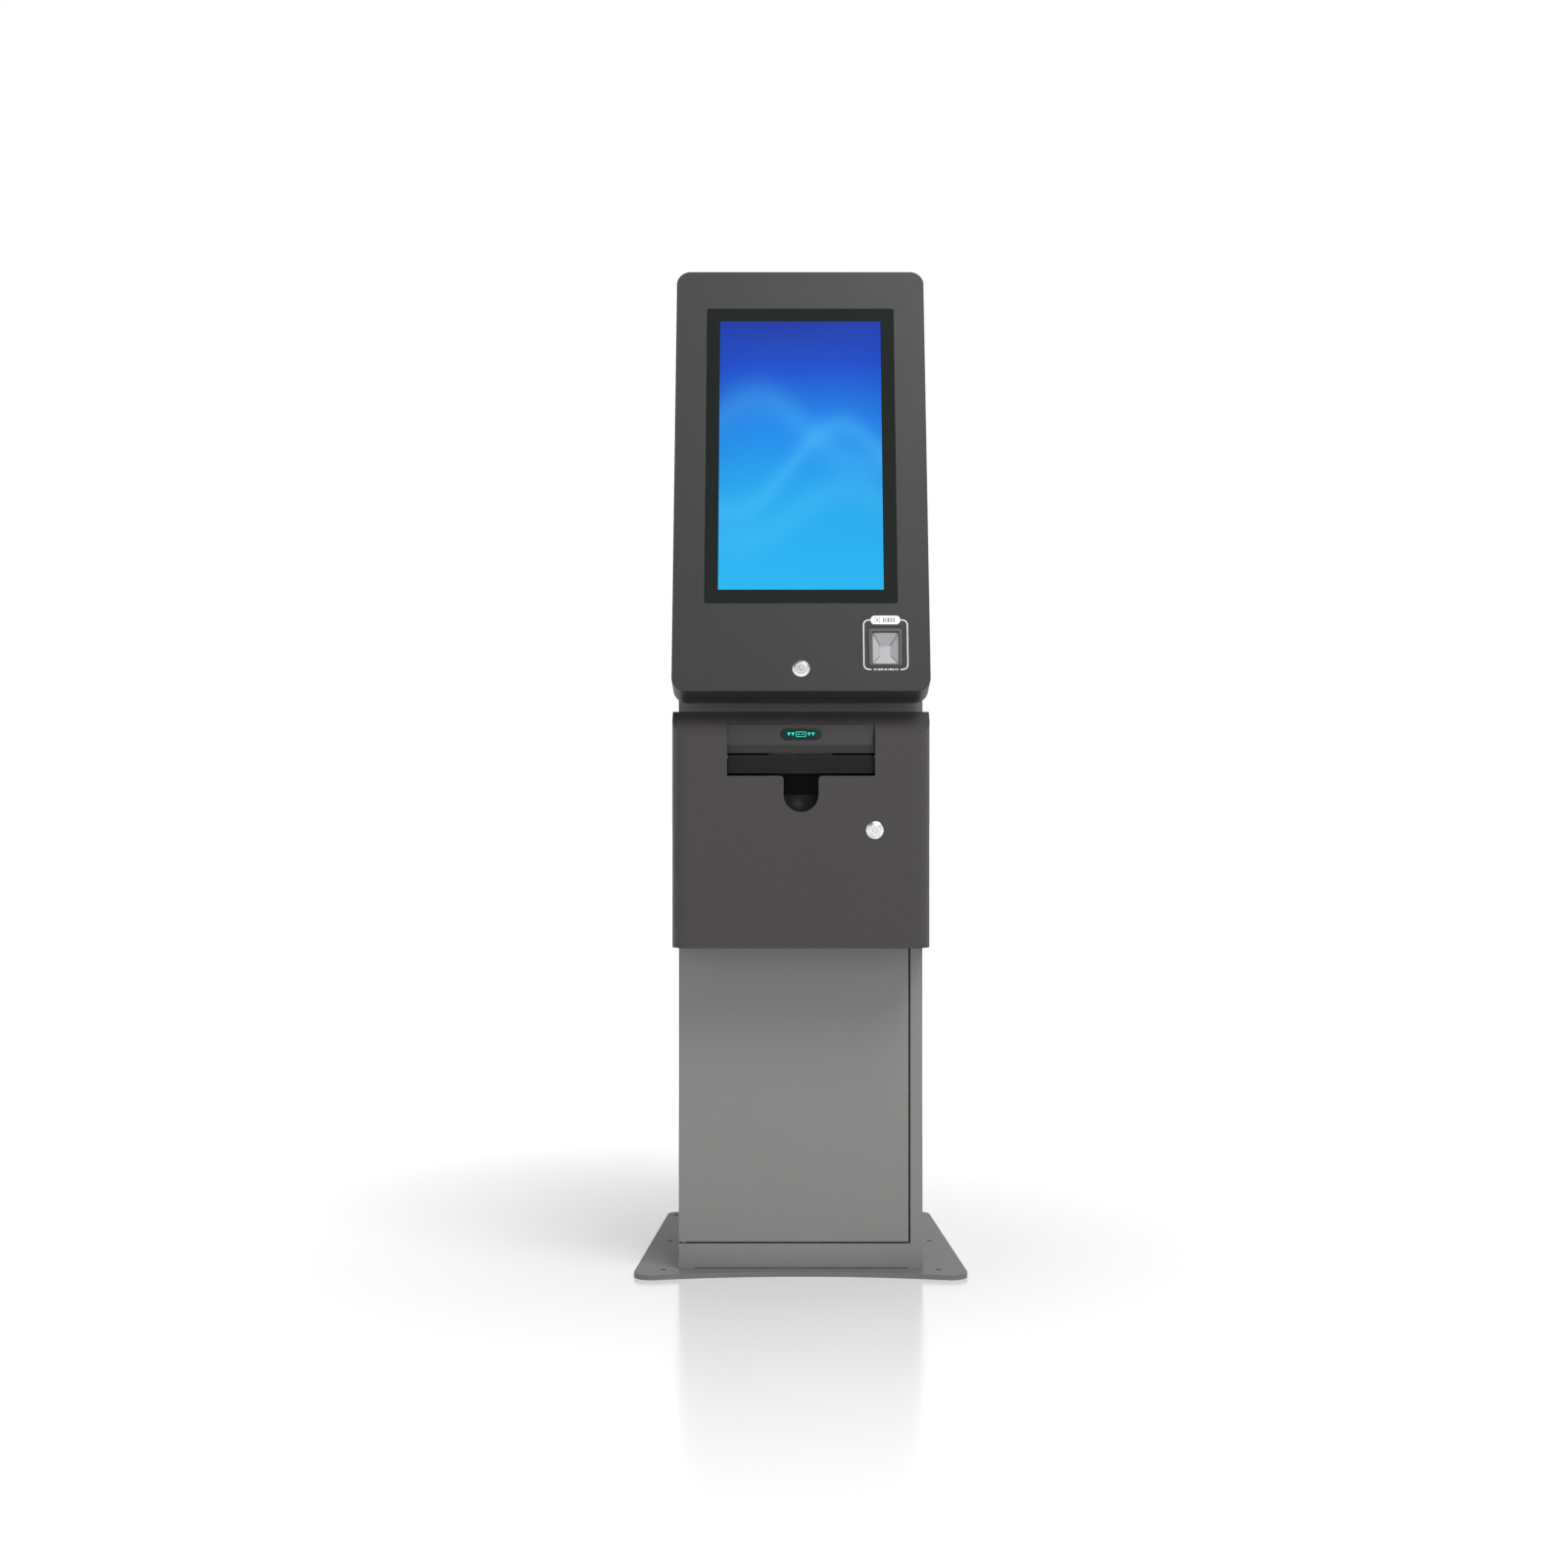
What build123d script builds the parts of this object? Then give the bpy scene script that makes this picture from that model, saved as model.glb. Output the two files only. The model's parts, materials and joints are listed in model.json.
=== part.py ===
from build123d import *
import os
from math import cos, hypot, radians, sin

# Floor-standing self-service ticket kiosk: base plate, column, middle box with the
# ticket outlet, and a tilted head with a touch screen and a code scanner.
# Millimetres. +X is the user's right, +Y is towards the back, +Z is up.
# The origin is the centre of the base plate's underside.

os.makedirs("parts", exist_ok=True)

# ---- Sheet metal, gaps and fits ----
sheet = 2.0             # wall of every folded steel panel
door_gap = 3.0          # gap round the lower door
seam = 1.5              # gap between the cover's rim and the column
head_seam = 0.5         # gap between the head's two shells
running = 0.05          # radial clearance of pins and shafts that turn
slip = 0.3              # clearance of faces that pass each other
through = 1.0           # how far a cutting solid runs past the face it cuts

# ---- Base plate ----
plate_thickness = 8.0
plate_depth = 532.0
plate_front_spread = 148.0   # plate's front edge is this much wider than the column
plate_back_spread = 81.0     # plate's back edge is this much wider than the column
plate_front_radius = 28.0
plate_back_radius = 18.0
plate_front_hollow = 34.0
anchor_spread = 50.0         # anchor rows are this much further apart than the column's sides
anchor_pitch_y = 450.0
anchor_row_shift = 10.0  # the middle pair of holes lies this far behind the centre
anchor_radius = 5.0

# ---- Column ----
column_width = 400.0
column_front = -208.0
column_depth = 360.0
foot_width = 26.0        # the front wall touches the plate over this width at each end
foot_relief = 2.0        # height of the shadow line between the feet
foot_relief_depth = 1.5
column_head_drop = 101.0    # column stops this far below the head's top
column_crown = 95.0         # depth of the flat top
column_taper_z = 1150.0     # the back wall leans forward above this height
column_bolt_radius = 4.0
column_bolt_inset = 32.0
column_bolt_head = 6.5
column_bolt_head_height = 5.0

# ---- Lower door ----
stile_width = 20.0
rail_top = 49.0
door_top = 537.0
door_depth = 18.0
jamb_clearance = 6.0        # room behind the door's left return as it swings
jamb_depth = 24.0
door_pivot_inset = 9.0      # pivot axis from the door's front and left faces
door_pin_radius = 3.0
door_pin_reach = 4.0        # pin past the door's return
door_pin_root = 5.0         # pin past the jamb's return
door_pin_head = 5.5
stiffener_width = 60.0
stiffener_depth = 10.0
stiffener_wall = 1.5
stiffener_margin = 40.0
bolt_inset = 50.0           # from the column's right side
bolt_radius = 5.0
bolt_travel = 18.0          # stroke into the door's top return
bolt_lift = 4.0             # withdrawn bolt stands this far above the door
bolt_spare = 3.0            # a lowered bolt stands this far above its upper guide
bolt_guide_size = 16.0
bolt_guide_height = 10.0
bolt_guide_pitch = 50.0
bolt_knob_radius = 6.0
bolt_knob_stem = 3.0
bolt_knob_length = 8.0

# ---- Middle box cover ----
cover_overhang = 7.5        # cover and head are this much wider than the column on each side
cover_front = -298.0
cover_bottom = 540.0
cover_top = 920.0
cover_corner = 30.0
slope_rise = 40.0
slope_run = 46.7
access_inset = 35.0         # access hole's edges from the column's sides
access_margin = 20.0        # access hole from the box's bottom and top

# ---- Cover hinge, along the left rim ----
cover_knuckle_radius = 3.4
cover_pin_radius = 1.2
cover_hinge_inset = 1.0     # pivot axis from the cover's left side
cover_hinge_setback = 4.0   # pivot axis in front of the column
cover_hinge_margin = 6.0
cover_hinge_gap = 0.6
cover_hinge_knuckles = 9
leaf_thickness = 1.2
leaf_width = 24.0

# ---- Ticket outlet ----
outlet_width = 237.0
outlet_bottom = 816.0
outlet_top = 901.0
notch_radius = 28.0
notch_centre_z = 786.0
notch_flare = 6.0
fascia_recess = 12.0
fascia_bottom = 865.0
fascia_top_recess = 26.0
fascia_thickness = 2.0
fascia_top_gap = 0.4
lip_bottom = 852.5
lip_reach = 5.0
lip_foot = 1.0
lip_thickness = 3.0
sign_width = 67.0
sign_height = 20.0
sign_proud = 0.5
sign_backlight_margin = 5.0
sign_backlight_depth = 6.0
flap_bottom = 819.5
flap_top = 849.5
flap_width = 235.0
flap_thickness = 2.2
flap_setback = 9.0          # flap face behind the cover's front
flap_knuckle_radius = 3.0
flap_pin_radius = 1.5
flap_hem = 1.4
tray_wall = 2.0
tray_floor = 3.0
tray_back = -225.0
tray_lead = 0.5             # tray's front edge behind the cover's wall
tray_back_top = 822.0
scoop_boss = 36.0
scoop_depth = 33.0
cheek_front_top = 876.0
cheek_back_top = 905.0
cheek_back_y = -262.0

# ---- Cam locks ----
lock_bezel_radius = 14.0
lock_bezel_height = 2.8
lock_bezel_foot = 0.6       # straight part under the bezel's cone
lock_bezel_crown = 10.2
lock_barrel_radius = 11.0
lock_plug_radius = 9.0
lock_plug_proud = 1.0
lock_plug_round = 0.5
lock_barrel_depth = 22.0
lock_key_radius = 4.2       # round keyway of a tubular key
lock_key_ring = 1.0
lock_key_depth = 6.0
lock_key_lug = 1.4
lock_nut_size = 15.0
lock_nut_sides = 6
lock_nut_height = 5.0
cam_length = 28.0
cam_width = 12.0
cam_thickness = 2.5
cam_play = 1.0
striker_width = 20.0
striker_wall = 3.0
striker_overlap = 6.0
cover_lock_inset = 47.0     # lock's axis from the access hole's right edge
cover_lock_z = 729.0

# ---- Head ----
head_tilt = 15.2
head_length = 741.0
head_foot_y = -304.6
head_foot_z = 951.3
head_depth = 64.0
head_door_depth = 46.0
head_corner = 23.0
head_edge = 1.5             # rounding of the face's outer edge
head_face = 2.5
glass_side_margin = 51.5
glass_top_margin = 69.0
glass_base = 149.0
glass_corner = 3.0
glass_thickness = 4.0
glass_sink = 0.3
gasket_lap = 12.0
gasket_window = 11.0
gasket_depth = 2.8
panel_side_inset = 6.0      # display panel inside the glass at each side
panel_end_inset = 7.5       # and at each end
panel_depth = 14.0
panel_back_width = 180.0
panel_back_length = 240.0
panel_back_height = 8.0
bar_width = 25.0
bar_thickness = 3.0
bar_gap = 1.5               # display bars from the panel's raised cover
head_lock_up = 38.0
cable_half_width = 110.0
cable_low = 200.0
cable_top_margin = 261.0
head_bolt_inset = 40.0      # from the column's sides
head_bolt_low = 170.0
head_bolt_top_margin = 151.0
head_bolt_radius = 4.0
head_bolt_head = 6.5
head_bolt_head_height = 4.0
vent_count = 7
vent_pitch = 9.0
vent_height = 3.5
vent_length = 120.0
head_vent_margin = 81.0     # lowest vent from the head's top

# ---- Head hinges, on the top edge ----
hinge_inset = 77.5          # middle of each hinge from the head's side
hinge_length = 60.0
hinge_end_knuckle = 15.0
hinge_knuckle_radius = 4.0
hinge_pin_radius = 2.0
hinge_leaf = 1.5
hinge_leaf_reach = 26.0
hinge_back_reach = 16.0
hinge_gap = 0.5

# ---- Code scanner ----
scanner_inset = 71.5        # middle of the scanner from the head's right side
scanner_base = 43.0
scanner_width = 55.0
scanner_height = 65.0
scanner_corner = 4.0
scanner_slit = 0.8          # open joint round the bezel
scanner_flange = 5.0
scanner_flange_depth = 3.0
window_width = 41.0
window_height = 52.0
window_base = 48.0
well_width = 16.5
well_height = 17.0
well_depth = 13.0
reflector_depth = 15.0
reflector_margin = 2.0
module_margin = 4.0
module_depth = 17.0

# ---- Ticket printer ----
printer_half_width = 52.0
printer_wall = 2.5
printer_front = -175.0
printer_back = 30.0
printer_height = 164.0
roller_radius = 9.0
roller_shaft_radius = 4.0
roller_half_length = 48.0
platen_y = -125.0
presenter_y = -161.0
roller_z = 838.0
bush_radius = 6.0
bush_flange = 1.5
motor_y = -143.0
motor_z = 800.0
motor_radius = 17.0
motor_length = 44.0
pulley_start = 58.0
pulley_width = 8.0
roller_pulley_radius = 9.0
motor_pulley_radius = 6.0
pulley_flange = 1.2
belt_thickness = 1.4
belt_width = 5.0
paper_path = 0.4            # paper gap above the rollers
print_head_length = 16.0
print_head_height = 13.0
cutter_length = 14.0
cutter_height = 13.0
roll_radius = 58.0
roll_half_width = 40.0
roll_y = -45.0
roll_z = 770.0
spindle_radius = 8.0
chute_start_z = 845.0
chute_side = 14.0
chute_wall = 1.5
chute_drop = 16.0
chute_front = -222.0

# ---- Shelves and equipment ----
shelf_thickness = 2.0
shelf_back = 140.0
printer_shelf_z = 700.0
computer_shelf_z = 300.0
shelf_lip = 12.0
computer_width = 260.0
computer_depth = 200.0
computer_height = 74.0
computer_fins = 9
computer_fin_height = 8.0
computer_fin_width = 3.0
supply_width = 50.0
supply_depth = 180.0
supply_height = 110.0
supply_back = 120.0
supply_base = 90.0
dispenser_half_width = 90.0
dispenser_front = -180.0
dispenser_back = 90.0
dispenser_height = 120.0
dispenser_wall = 2.0
cassette_slack = 1.0
cassette_handle_width = 70.0
cassette_handle_reach = 14.0
cassette_handle_bar = 8.0

# ---- Back of the column ----
rear_panel_margin = 35.0    # column showing at each side of the panel
rear_panel_base = 120.0
rear_panel_top = 880.0
rear_panel_lap = 10.0
panel_vent_margin = 45.0
screw_radius = 2.5
screw_head_radius = 4.5
screw_head_height = 2.5
screw_length = 8.0
screw_rows = 4
fan_z = 990.0
fan_size = 120.0
fan_depth = 25.0
fan_hub_radius = 19.0
fan_blade_radius = 54.0
fan_bore_radius = 57.0
fan_blades = 7
fan_blade_thickness = 1.5
fan_blade_pitch = 35.0
fan_strut = 6.0
fan_axle_radius = 2.0
inlet_x = -120.0
inlet_z = 80.0
inlet_width = 50.0
inlet_height = 32.0
inlet_mouth_width = 27.0
inlet_mouth_height = 20.0
inlet_depth = 22.0
inlet_pin = 2.0
inlet_pin_length = 12.0
inlet_pin_pitch = 7.0

# ---- Values that follow from those above ----
column_back = column_front + column_depth
column_half = column_width / 2
cover_half = column_half + cover_overhang
cover_width = 2 * cover_half
plate_front_width = column_width + plate_front_spread
plate_back_width = column_width + plate_back_spread
anchor_pitch_x = column_width + anchor_spread
access_half_width = column_half - access_inset
rear_panel_width = column_width - 2 * rear_panel_margin
cover_back = column_front - seam
tilt_sin = sin(radians(head_tilt))
tilt_cos = cos(radians(head_tilt))
stile_x = column_half - stile_width
door_left = -column_half
door_right = stile_x - door_gap
door_bottom = rail_top + door_gap
door_back = column_front + door_depth
door_header = cover_bottom
jamb_back = column_front + jamb_depth
wall_start = door_back + jamb_clearance
door_pivot_x = door_left + door_pivot_inset
door_pivot_y = column_front + door_pivot_inset
bolt_x = column_half - bolt_inset
bolt_y = column_front + door_depth / 2
bolt_foot = door_top + bolt_lift
bolt_guide_base = cover_bottom + access_margin / 2
bolt_guide_top = bolt_guide_base + bolt_guide_pitch + bolt_guide_height
bolt_length = bolt_guide_top - bolt_foot + bolt_travel + bolt_spare
cover_hinge_x = cover_hinge_inset - cover_half
cover_hinge_y = column_front - cover_hinge_setback
flap_pivot_y = cover_front + flap_setback + flap_knuckle_radius
flap_pivot_z = flap_top - flap_knuckle_radius
cover_lock_x = access_half_width - cover_lock_inset
cover_lock_y = cover_front
head_width = cover_width
column_head_reach = head_length - column_head_drop
glass_width = head_width - 2 * glass_side_margin
glass_length = head_length - glass_base - glass_top_margin
panel_width = glass_width - 2 * panel_side_inset
panel_length = glass_length - 2 * panel_end_inset
cable_high = head_length - cable_top_margin
head_bolt_x = column_half - head_bolt_inset
head_bolt_high = head_length - head_bolt_top_margin
head_vent_base = head_length - head_vent_margin
hinge_x = cover_half - hinge_inset
scanner_x = cover_half - scanner_inset
head_hinge_up = head_length + hinge_knuckle_radius
head_hinge_in = head_door_depth + head_seam / 2


def head_point(up, inward):
    """World Y and Z of a point measured up the head's face and in from it."""
    y = head_foot_y + up * tilt_sin + inward * tilt_cos
    z = head_foot_z + up * tilt_cos - inward * tilt_sin
    return y, z


# The head's own frame: X to the right, Y up the face, Z out of the face.
HEAD = Plane(
    origin=(0, head_foot_y, head_foot_z),
    x_dir=(1, 0, 0),
    z_dir=(0, -tilt_cos, tilt_sin),
)


# ---- Small builders ----
def block(x0, x1, y0, y1, z0, z1):
    """A box between two opposite corners."""
    centre = Pos((x0 + x1) / 2, (y0 + y1) / 2, (z0 + z1) / 2)
    return centre * Box(x1 - x0, y1 - y0, z1 - z0)


def rod_x(radius, x0, x1, y, z):
    """A cylinder along X."""
    return Pos((x0 + x1) / 2, y, z) * Rot(0, 90, 0) * Cylinder(radius, x1 - x0)


def rod_y(radius, y0, y1, x, z):
    """A cylinder along Y."""
    return Pos(x, (y0 + y1) / 2, z) * Rot(90, 0, 0) * Cylinder(radius, y1 - y0)


def rod_z(radius, z0, z1, x, y):
    """A cylinder along Z."""
    return Pos(x, y, (z0 + z1) / 2) * Cylinder(radius, z1 - z0)


def side_profile(points, x0, x1):
    """A polygon given in Y and Z, extruded along X."""
    face = Plane.YZ.offset(x0) * Polygon(*points, align=None)
    return extrude(face, x1 - x0, dir=(1, 0, 0))


def rounded_block(width, height, radius, base, z0, z1, x=0.0):
    """A plate with rounded corners standing on Y = base, between two Z levels."""
    face = Pos(x, base + height / 2, z0) * RectangleRounded(width, height, radius)
    return extrude(face, z1 - z0)


def mirrored(shape):
    """The shape together with its mirror image across the YZ plane."""
    return shape + mirror(shape, Plane.YZ)


def save(name, shape):
    """Write one named sub-part."""
    export_step(shape, f"parts/{name}.step")


# ---- Base plate ----
def anchor_points():
    """Centres of the six anchor holes."""
    rows = (-anchor_pitch_y / 2, 0, anchor_pitch_y / 2)
    return [
        (side * anchor_pitch_x / 2, anchor_row_shift + row)
        for side in (-1, 1)
        for row in rows
    ]


def make_base_plate():
    """Trapezoid plate with a hollow front edge and six anchor holes."""
    front = -plate_depth / 2
    back = plate_depth / 2
    half_front = plate_front_width / 2
    half_back = plate_back_width / 2
    hollow = ThreePointArc(
        (half_front, front), (0, front + plate_front_hollow), (-half_front, front)
    )
    rest = Polyline(
        (-half_front, front), (-half_back, back), (half_back, back), (half_front, front)
    )
    plate = extrude(make_face(hollow + rest), plate_thickness)
    uprights = plate.edges().filter_by(Axis.Z).sort_by(Axis.Y)
    plate = fillet(uprights[:2], plate_front_radius)
    uprights = plate.edges().filter_by(Axis.Z).filter_by(GeomType.LINE).sort_by(Axis.Y)
    plate = fillet(uprights[-2:], plate_back_radius)
    for x, y in anchor_points():
        plate -= rod_z(anchor_radius, -through, plate_thickness + through, x, y)
    return plate


# ---- Column ----
def column_outline(inset):
    """Side outline of the column, each face moved in by the inset."""
    front = column_front + inset
    back = column_back - inset
    foot = plate_thickness + inset
    behind = head_depth + inset
    neck_up = (front - head_foot_y - behind * tilt_cos) / tilt_sin
    neck = head_point(neck_up, behind)
    crown = head_point(column_head_reach, head_depth)
    crown_z = crown[1] - inset
    crown_up = (crown_z - head_foot_z + behind * tilt_sin) / tilt_cos
    crown_front = head_point(crown_up, behind)
    crown_back = crown[0] + column_crown - inset
    return [
        (front, foot),
        neck,
        crown_front,
        (crown_back, crown_z),
        (back, column_taper_z - inset),
        (back, foot),
    ]


def make_column_shell():
    """Folded column: side walls, back, neck, crown and a flanged foot."""
    shell = side_profile(column_outline(0), -column_half, column_half)
    inside = column_half - sheet
    shell -= side_profile(column_outline(sheet), -inside, inside)
    front = column_front - through
    skin = column_front + sheet + through
    shell -= block(door_left - through, stile_x, front, skin, rail_top, door_header)
    shell -= block(door_left - through, -inside + through, front, wall_start, rail_top, door_header)
    shell += block(stile_x, stile_x + sheet, column_front, jamb_back, rail_top, door_header)
    left = -column_half
    shell += block(left, stile_x + sheet, column_front, jamb_back, rail_top - sheet, rail_top)
    shell += block(left, stile_x + sheet, column_front, jamb_back, door_header, door_header + sheet)
    shell -= block(
        -access_half_width, access_half_width, front, skin,
        cover_bottom + access_margin, cover_top - access_margin,
    )
    relief = column_half - foot_width
    shell -= block(
        -relief, relief, front, column_front + foot_relief_depth,
        plate_thickness, plate_thickness + foot_relief,
    )
    shell -= HEAD.location * block(
        -cable_half_width, cable_half_width, cable_low, cable_high,
        -head_depth - sheet - through, -head_depth + through,
    )
    for x, up in head_bolt_points():
        hole = rod_z(head_bolt_radius, -head_depth - sheet - through, -head_depth + through, x, up)
        shell -= HEAD.location * hole
    for x, y in column_bolt_points():
        shell -= rod_z(column_bolt_radius, plate_thickness, plate_thickness + sheet + through, x, y)
    shell -= rear_panel_opening()
    for x, z in rear_screw_points():
        shell -= rod_y(screw_radius, column_back - sheet - through, column_back + through, x, z)
    shell -= rear_vents()
    shell -= block(
        inlet_x - inlet_width / 2 + rear_panel_lap / 2, inlet_x + inlet_width / 2 - rear_panel_lap / 2,
        column_back - sheet - through, column_back + through,
        inlet_z - inlet_height / 2 + sheet, inlet_z + inlet_height / 2 - sheet,
    )
    for z in door_pin_levels():
        shell -= rod_z(door_pin_radius, z - sheet, z + sheet, door_pivot_x, door_pivot_y)
    shell -= rod_z(
        bolt_radius + running, door_header - through, door_header + sheet + through, bolt_x, bolt_y
    )
    return shell


def column_bolt_points():
    """Centres of the bolts that hold the column's foot to the base plate."""
    x = column_half - sheet - column_bolt_inset
    front = column_front + sheet + column_bolt_inset
    back = column_back - sheet - column_bolt_inset
    return [(-x, front), (x, front), (-x, back), (x, back)]


def make_column_bolts():
    """Four screws through the column's foot."""
    foot_top = plate_thickness + sheet
    bolts = Part()
    for x, y in column_bolt_points():
        bolts += rod_z(column_bolt_radius, plate_thickness, foot_top, x, y)
        bolts += rod_z(column_bolt_head, foot_top, foot_top + column_bolt_head_height, x, y)
    return bolts


def head_bolt_points():
    """Places, in the head's frame, of the bolts between head and column."""
    return [
        (side * head_bolt_x, up) for side in (-1, 1) for up in (head_bolt_low, head_bolt_high)
    ]


def make_head_bolts():
    """Four bolts through the head's back and the column's sloped face."""
    inner = -head_depth + sheet
    outer = -head_depth - sheet
    bolts = Part()
    for x, up in head_bolt_points():
        bolts += rod_z(head_bolt_radius, outer, inner, x, up)
        bolts += rod_z(head_bolt_head, inner, inner + head_bolt_head_height, x, up)
        bolts += rod_z(head_bolt_head, outer - head_bolt_head_height, outer, x, up)
    return HEAD.location * bolts


# ---- Back of the column ----
def rear_panel_opening():
    """The service opening in the column's back wall."""
    half = rear_panel_width / 2 - rear_panel_lap
    return block(
        -half, half, column_back - sheet - through, column_back + through,
        rear_panel_base + rear_panel_lap, rear_panel_top - rear_panel_lap,
    )


def rear_screw_points():
    """Centres of the rear panel's screws."""
    x = (rear_panel_width - rear_panel_lap) / 2
    low = rear_panel_base + rear_panel_lap
    high = rear_panel_top - rear_panel_lap
    step = (high - low) / (screw_rows - 1)
    return [(side * x, low + row * step) for side in (-1, 1) for row in range(screw_rows)]


def rear_vents():
    """Slots in the column's back wall, in front of the fan."""
    slots = Part()
    first = fan_z - vent_pitch * (vent_count - 1) / 2
    for index in range(vent_count):
        z = first + index * vent_pitch
        slots += block(
            -vent_length / 2, vent_length / 2, column_back - sheet - through, column_back + through,
            z - vent_height / 2, z + vent_height / 2,
        )
    return slots


def make_rear_panel():
    """Service panel screwed over the opening, with louvre slots at both ends."""
    half = rear_panel_width / 2
    panel = block(
        -half, half, column_back, column_back + sheet, rear_panel_base, rear_panel_top
    )
    low = rear_panel_base + panel_vent_margin
    high = rear_panel_top - panel_vent_margin - vent_pitch * (vent_count - 1)
    for first in (low, high):
        for index in range(vent_count):
            z = first + index * vent_pitch
            panel -= block(
                -vent_length / 2, vent_length / 2, column_back - through, column_back + sheet + through,
                z - vent_height / 2, z + vent_height / 2,
            )
    for x, z in rear_screw_points():
        panel -= rod_y(screw_radius, column_back - through, column_back + sheet + through, x, z)
    return panel


def make_rear_panel_screws():
    """Pan-head screws of the rear panel."""
    outer = column_back + sheet
    screws = Part()
    for x, z in rear_screw_points():
        screws += rod_y(screw_radius, outer - screw_length, outer, x, z)
        screws += rod_y(screw_head_radius, outer, outer + screw_head_height, x, z)
    return screws


def make_fan_frame():
    """Square frame of the ventilation fan, with four struts and an axle."""
    back = column_back - sheet
    front = back - fan_depth
    half = fan_size / 2
    frame = block(-half, half, front, back, fan_z - half, fan_z + half)
    frame -= rod_y(fan_bore_radius, front - through, back + through, 0, fan_z)
    strut_depth = fan_strut / 2
    struts = block(
        -half, half, front, front + strut_depth, fan_z - fan_strut / 2, fan_z + fan_strut / 2
    )
    struts += block(
        -fan_strut / 2, fan_strut / 2, front, front + strut_depth, fan_z - half, fan_z + half
    )
    struts += rod_y(fan_hub_radius, front, front + strut_depth, 0, fan_z)
    axle = rod_y(fan_axle_radius, front, back - fan_strut / 2, 0, fan_z)
    return frame + struts + axle


def make_fan_rotor():
    """Hub and pitched blades, turning on the frame's axle."""
    back = column_back - sheet - fan_strut / 2
    front = column_back - sheet - fan_depth + fan_strut
    middle = (front + back) / 2
    rotor = rod_y(fan_hub_radius, front, back, 0, fan_z)
    chord = (back - front) / 2
    reach = fan_blade_radius - fan_hub_radius / 2
    blade = Pos(fan_hub_radius / 2 + reach / 2, 0, 0) * Rot(fan_blade_pitch, 0, 0) * Box(
        reach, chord, fan_blade_thickness
    )
    for index in range(fan_blades):
        rotor += Pos(0, middle, fan_z) * Rot(0, index * 360 / fan_blades, 0) * blade
    return rotor - rod_y(fan_axle_radius + running, front - through, back + through, 0, fan_z)


def make_power_inlet():
    """Panel inlet with a recessed mouth and three flat pins."""
    outer = column_back + sheet
    half_width = inlet_width / 2
    half_height = inlet_height / 2
    body_half = half_width - rear_panel_lap / 2 - slip
    body_height = half_height - sheet - slip
    inlet = block(
        inlet_x - half_width, inlet_x + half_width, column_back, outer,
        inlet_z - half_height, inlet_z + half_height,
    )
    inlet += block(
        inlet_x - body_half, inlet_x + body_half, outer - inlet_depth, outer,
        inlet_z - body_height, inlet_z + body_height,
    )
    floor = outer - inlet_depth + sheet
    inlet -= block(
        inlet_x - inlet_mouth_width / 2, inlet_x + inlet_mouth_width / 2, floor, outer + through,
        inlet_z - inlet_mouth_height / 2, inlet_z + inlet_mouth_height / 2,
    )
    for offset, lift in ((-1, -0.5), (0, 0.5), (1, -0.5)):
        x = inlet_x + offset * inlet_pin_pitch
        z = inlet_z + lift * inlet_pin_pitch
        inlet += block(
            x - inlet_pin / 2, x + inlet_pin / 2, floor, floor + inlet_pin_length,
            z - inlet_pin, z + inlet_pin,
        )
    return inlet


# ---- Lower door ----
def door_pin_levels():
    """Heights of the jamb returns that hold the door's pivot pins."""
    return (rail_top - sheet / 2, door_header + sheet / 2)


def make_lower_door():
    """Pan door whose left return wraps round the column's edge."""
    door = block(door_left, door_right, column_front, door_back, door_bottom, door_top)
    door -= block(
        door_left + sheet, door_right - sheet, column_front + sheet, door_back + through,
        door_bottom + sheet, door_top - sheet,
    )
    door -= rod_z(
        door_pin_radius + running, door_bottom - through, door_top + through,
        door_pivot_x, door_pivot_y,
    )
    door -= rod_z(
        bolt_radius + slip, door_top - sheet - through, door_top + through, bolt_x, bolt_y
    )
    return door


def make_door_stiffener():
    """Hat-section stiffener welded down the middle of the door's inner face."""
    centre = (door_left + door_right) / 2
    half = stiffener_width / 2
    face = column_front + sheet
    low = door_bottom + stiffener_margin
    high = door_top - stiffener_margin
    hat = block(centre - half, centre + half, face, face + stiffener_depth, low, high)
    inner = half - stiffener_wall
    hat -= block(
        centre - inner, centre + inner, face - through,
        face + stiffener_depth - stiffener_wall, low - through, high + through,
    )
    return hat


def make_door_pins():
    """Lower and upper pivot pins, fixed in the jamb's returns."""
    foot = rail_top - sheet
    crown = door_header + sheet
    lower = rod_z(
        door_pin_radius, foot, door_bottom + sheet + door_pin_reach, door_pivot_x, door_pivot_y
    )
    lower += rod_z(door_pin_head, foot - door_pin_root, foot, door_pivot_x, door_pivot_y)
    upper = rod_z(
        door_pin_radius, door_top - sheet - door_pin_reach, crown, door_pivot_x, door_pivot_y
    )
    upper += rod_z(door_pin_head, crown, crown + door_pin_root, door_pivot_x, door_pivot_y)
    return lower + upper


def make_bolt_guides():
    """Two guide blocks for the hand bolt, fixed behind the column's front wall."""
    guides = Part()
    half = bolt_guide_size / 2
    for z in (bolt_guide_base, bolt_guide_base + bolt_guide_pitch):
        guide = block(
            bolt_x - half, column_half - sheet, column_front + sheet, bolt_y + half,
            z, z + bolt_guide_height,
        )
        guides += guide - rod_z(
            bolt_radius + running, z - through, z + bolt_guide_height + through, bolt_x, bolt_y
        )
    return guides


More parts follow.
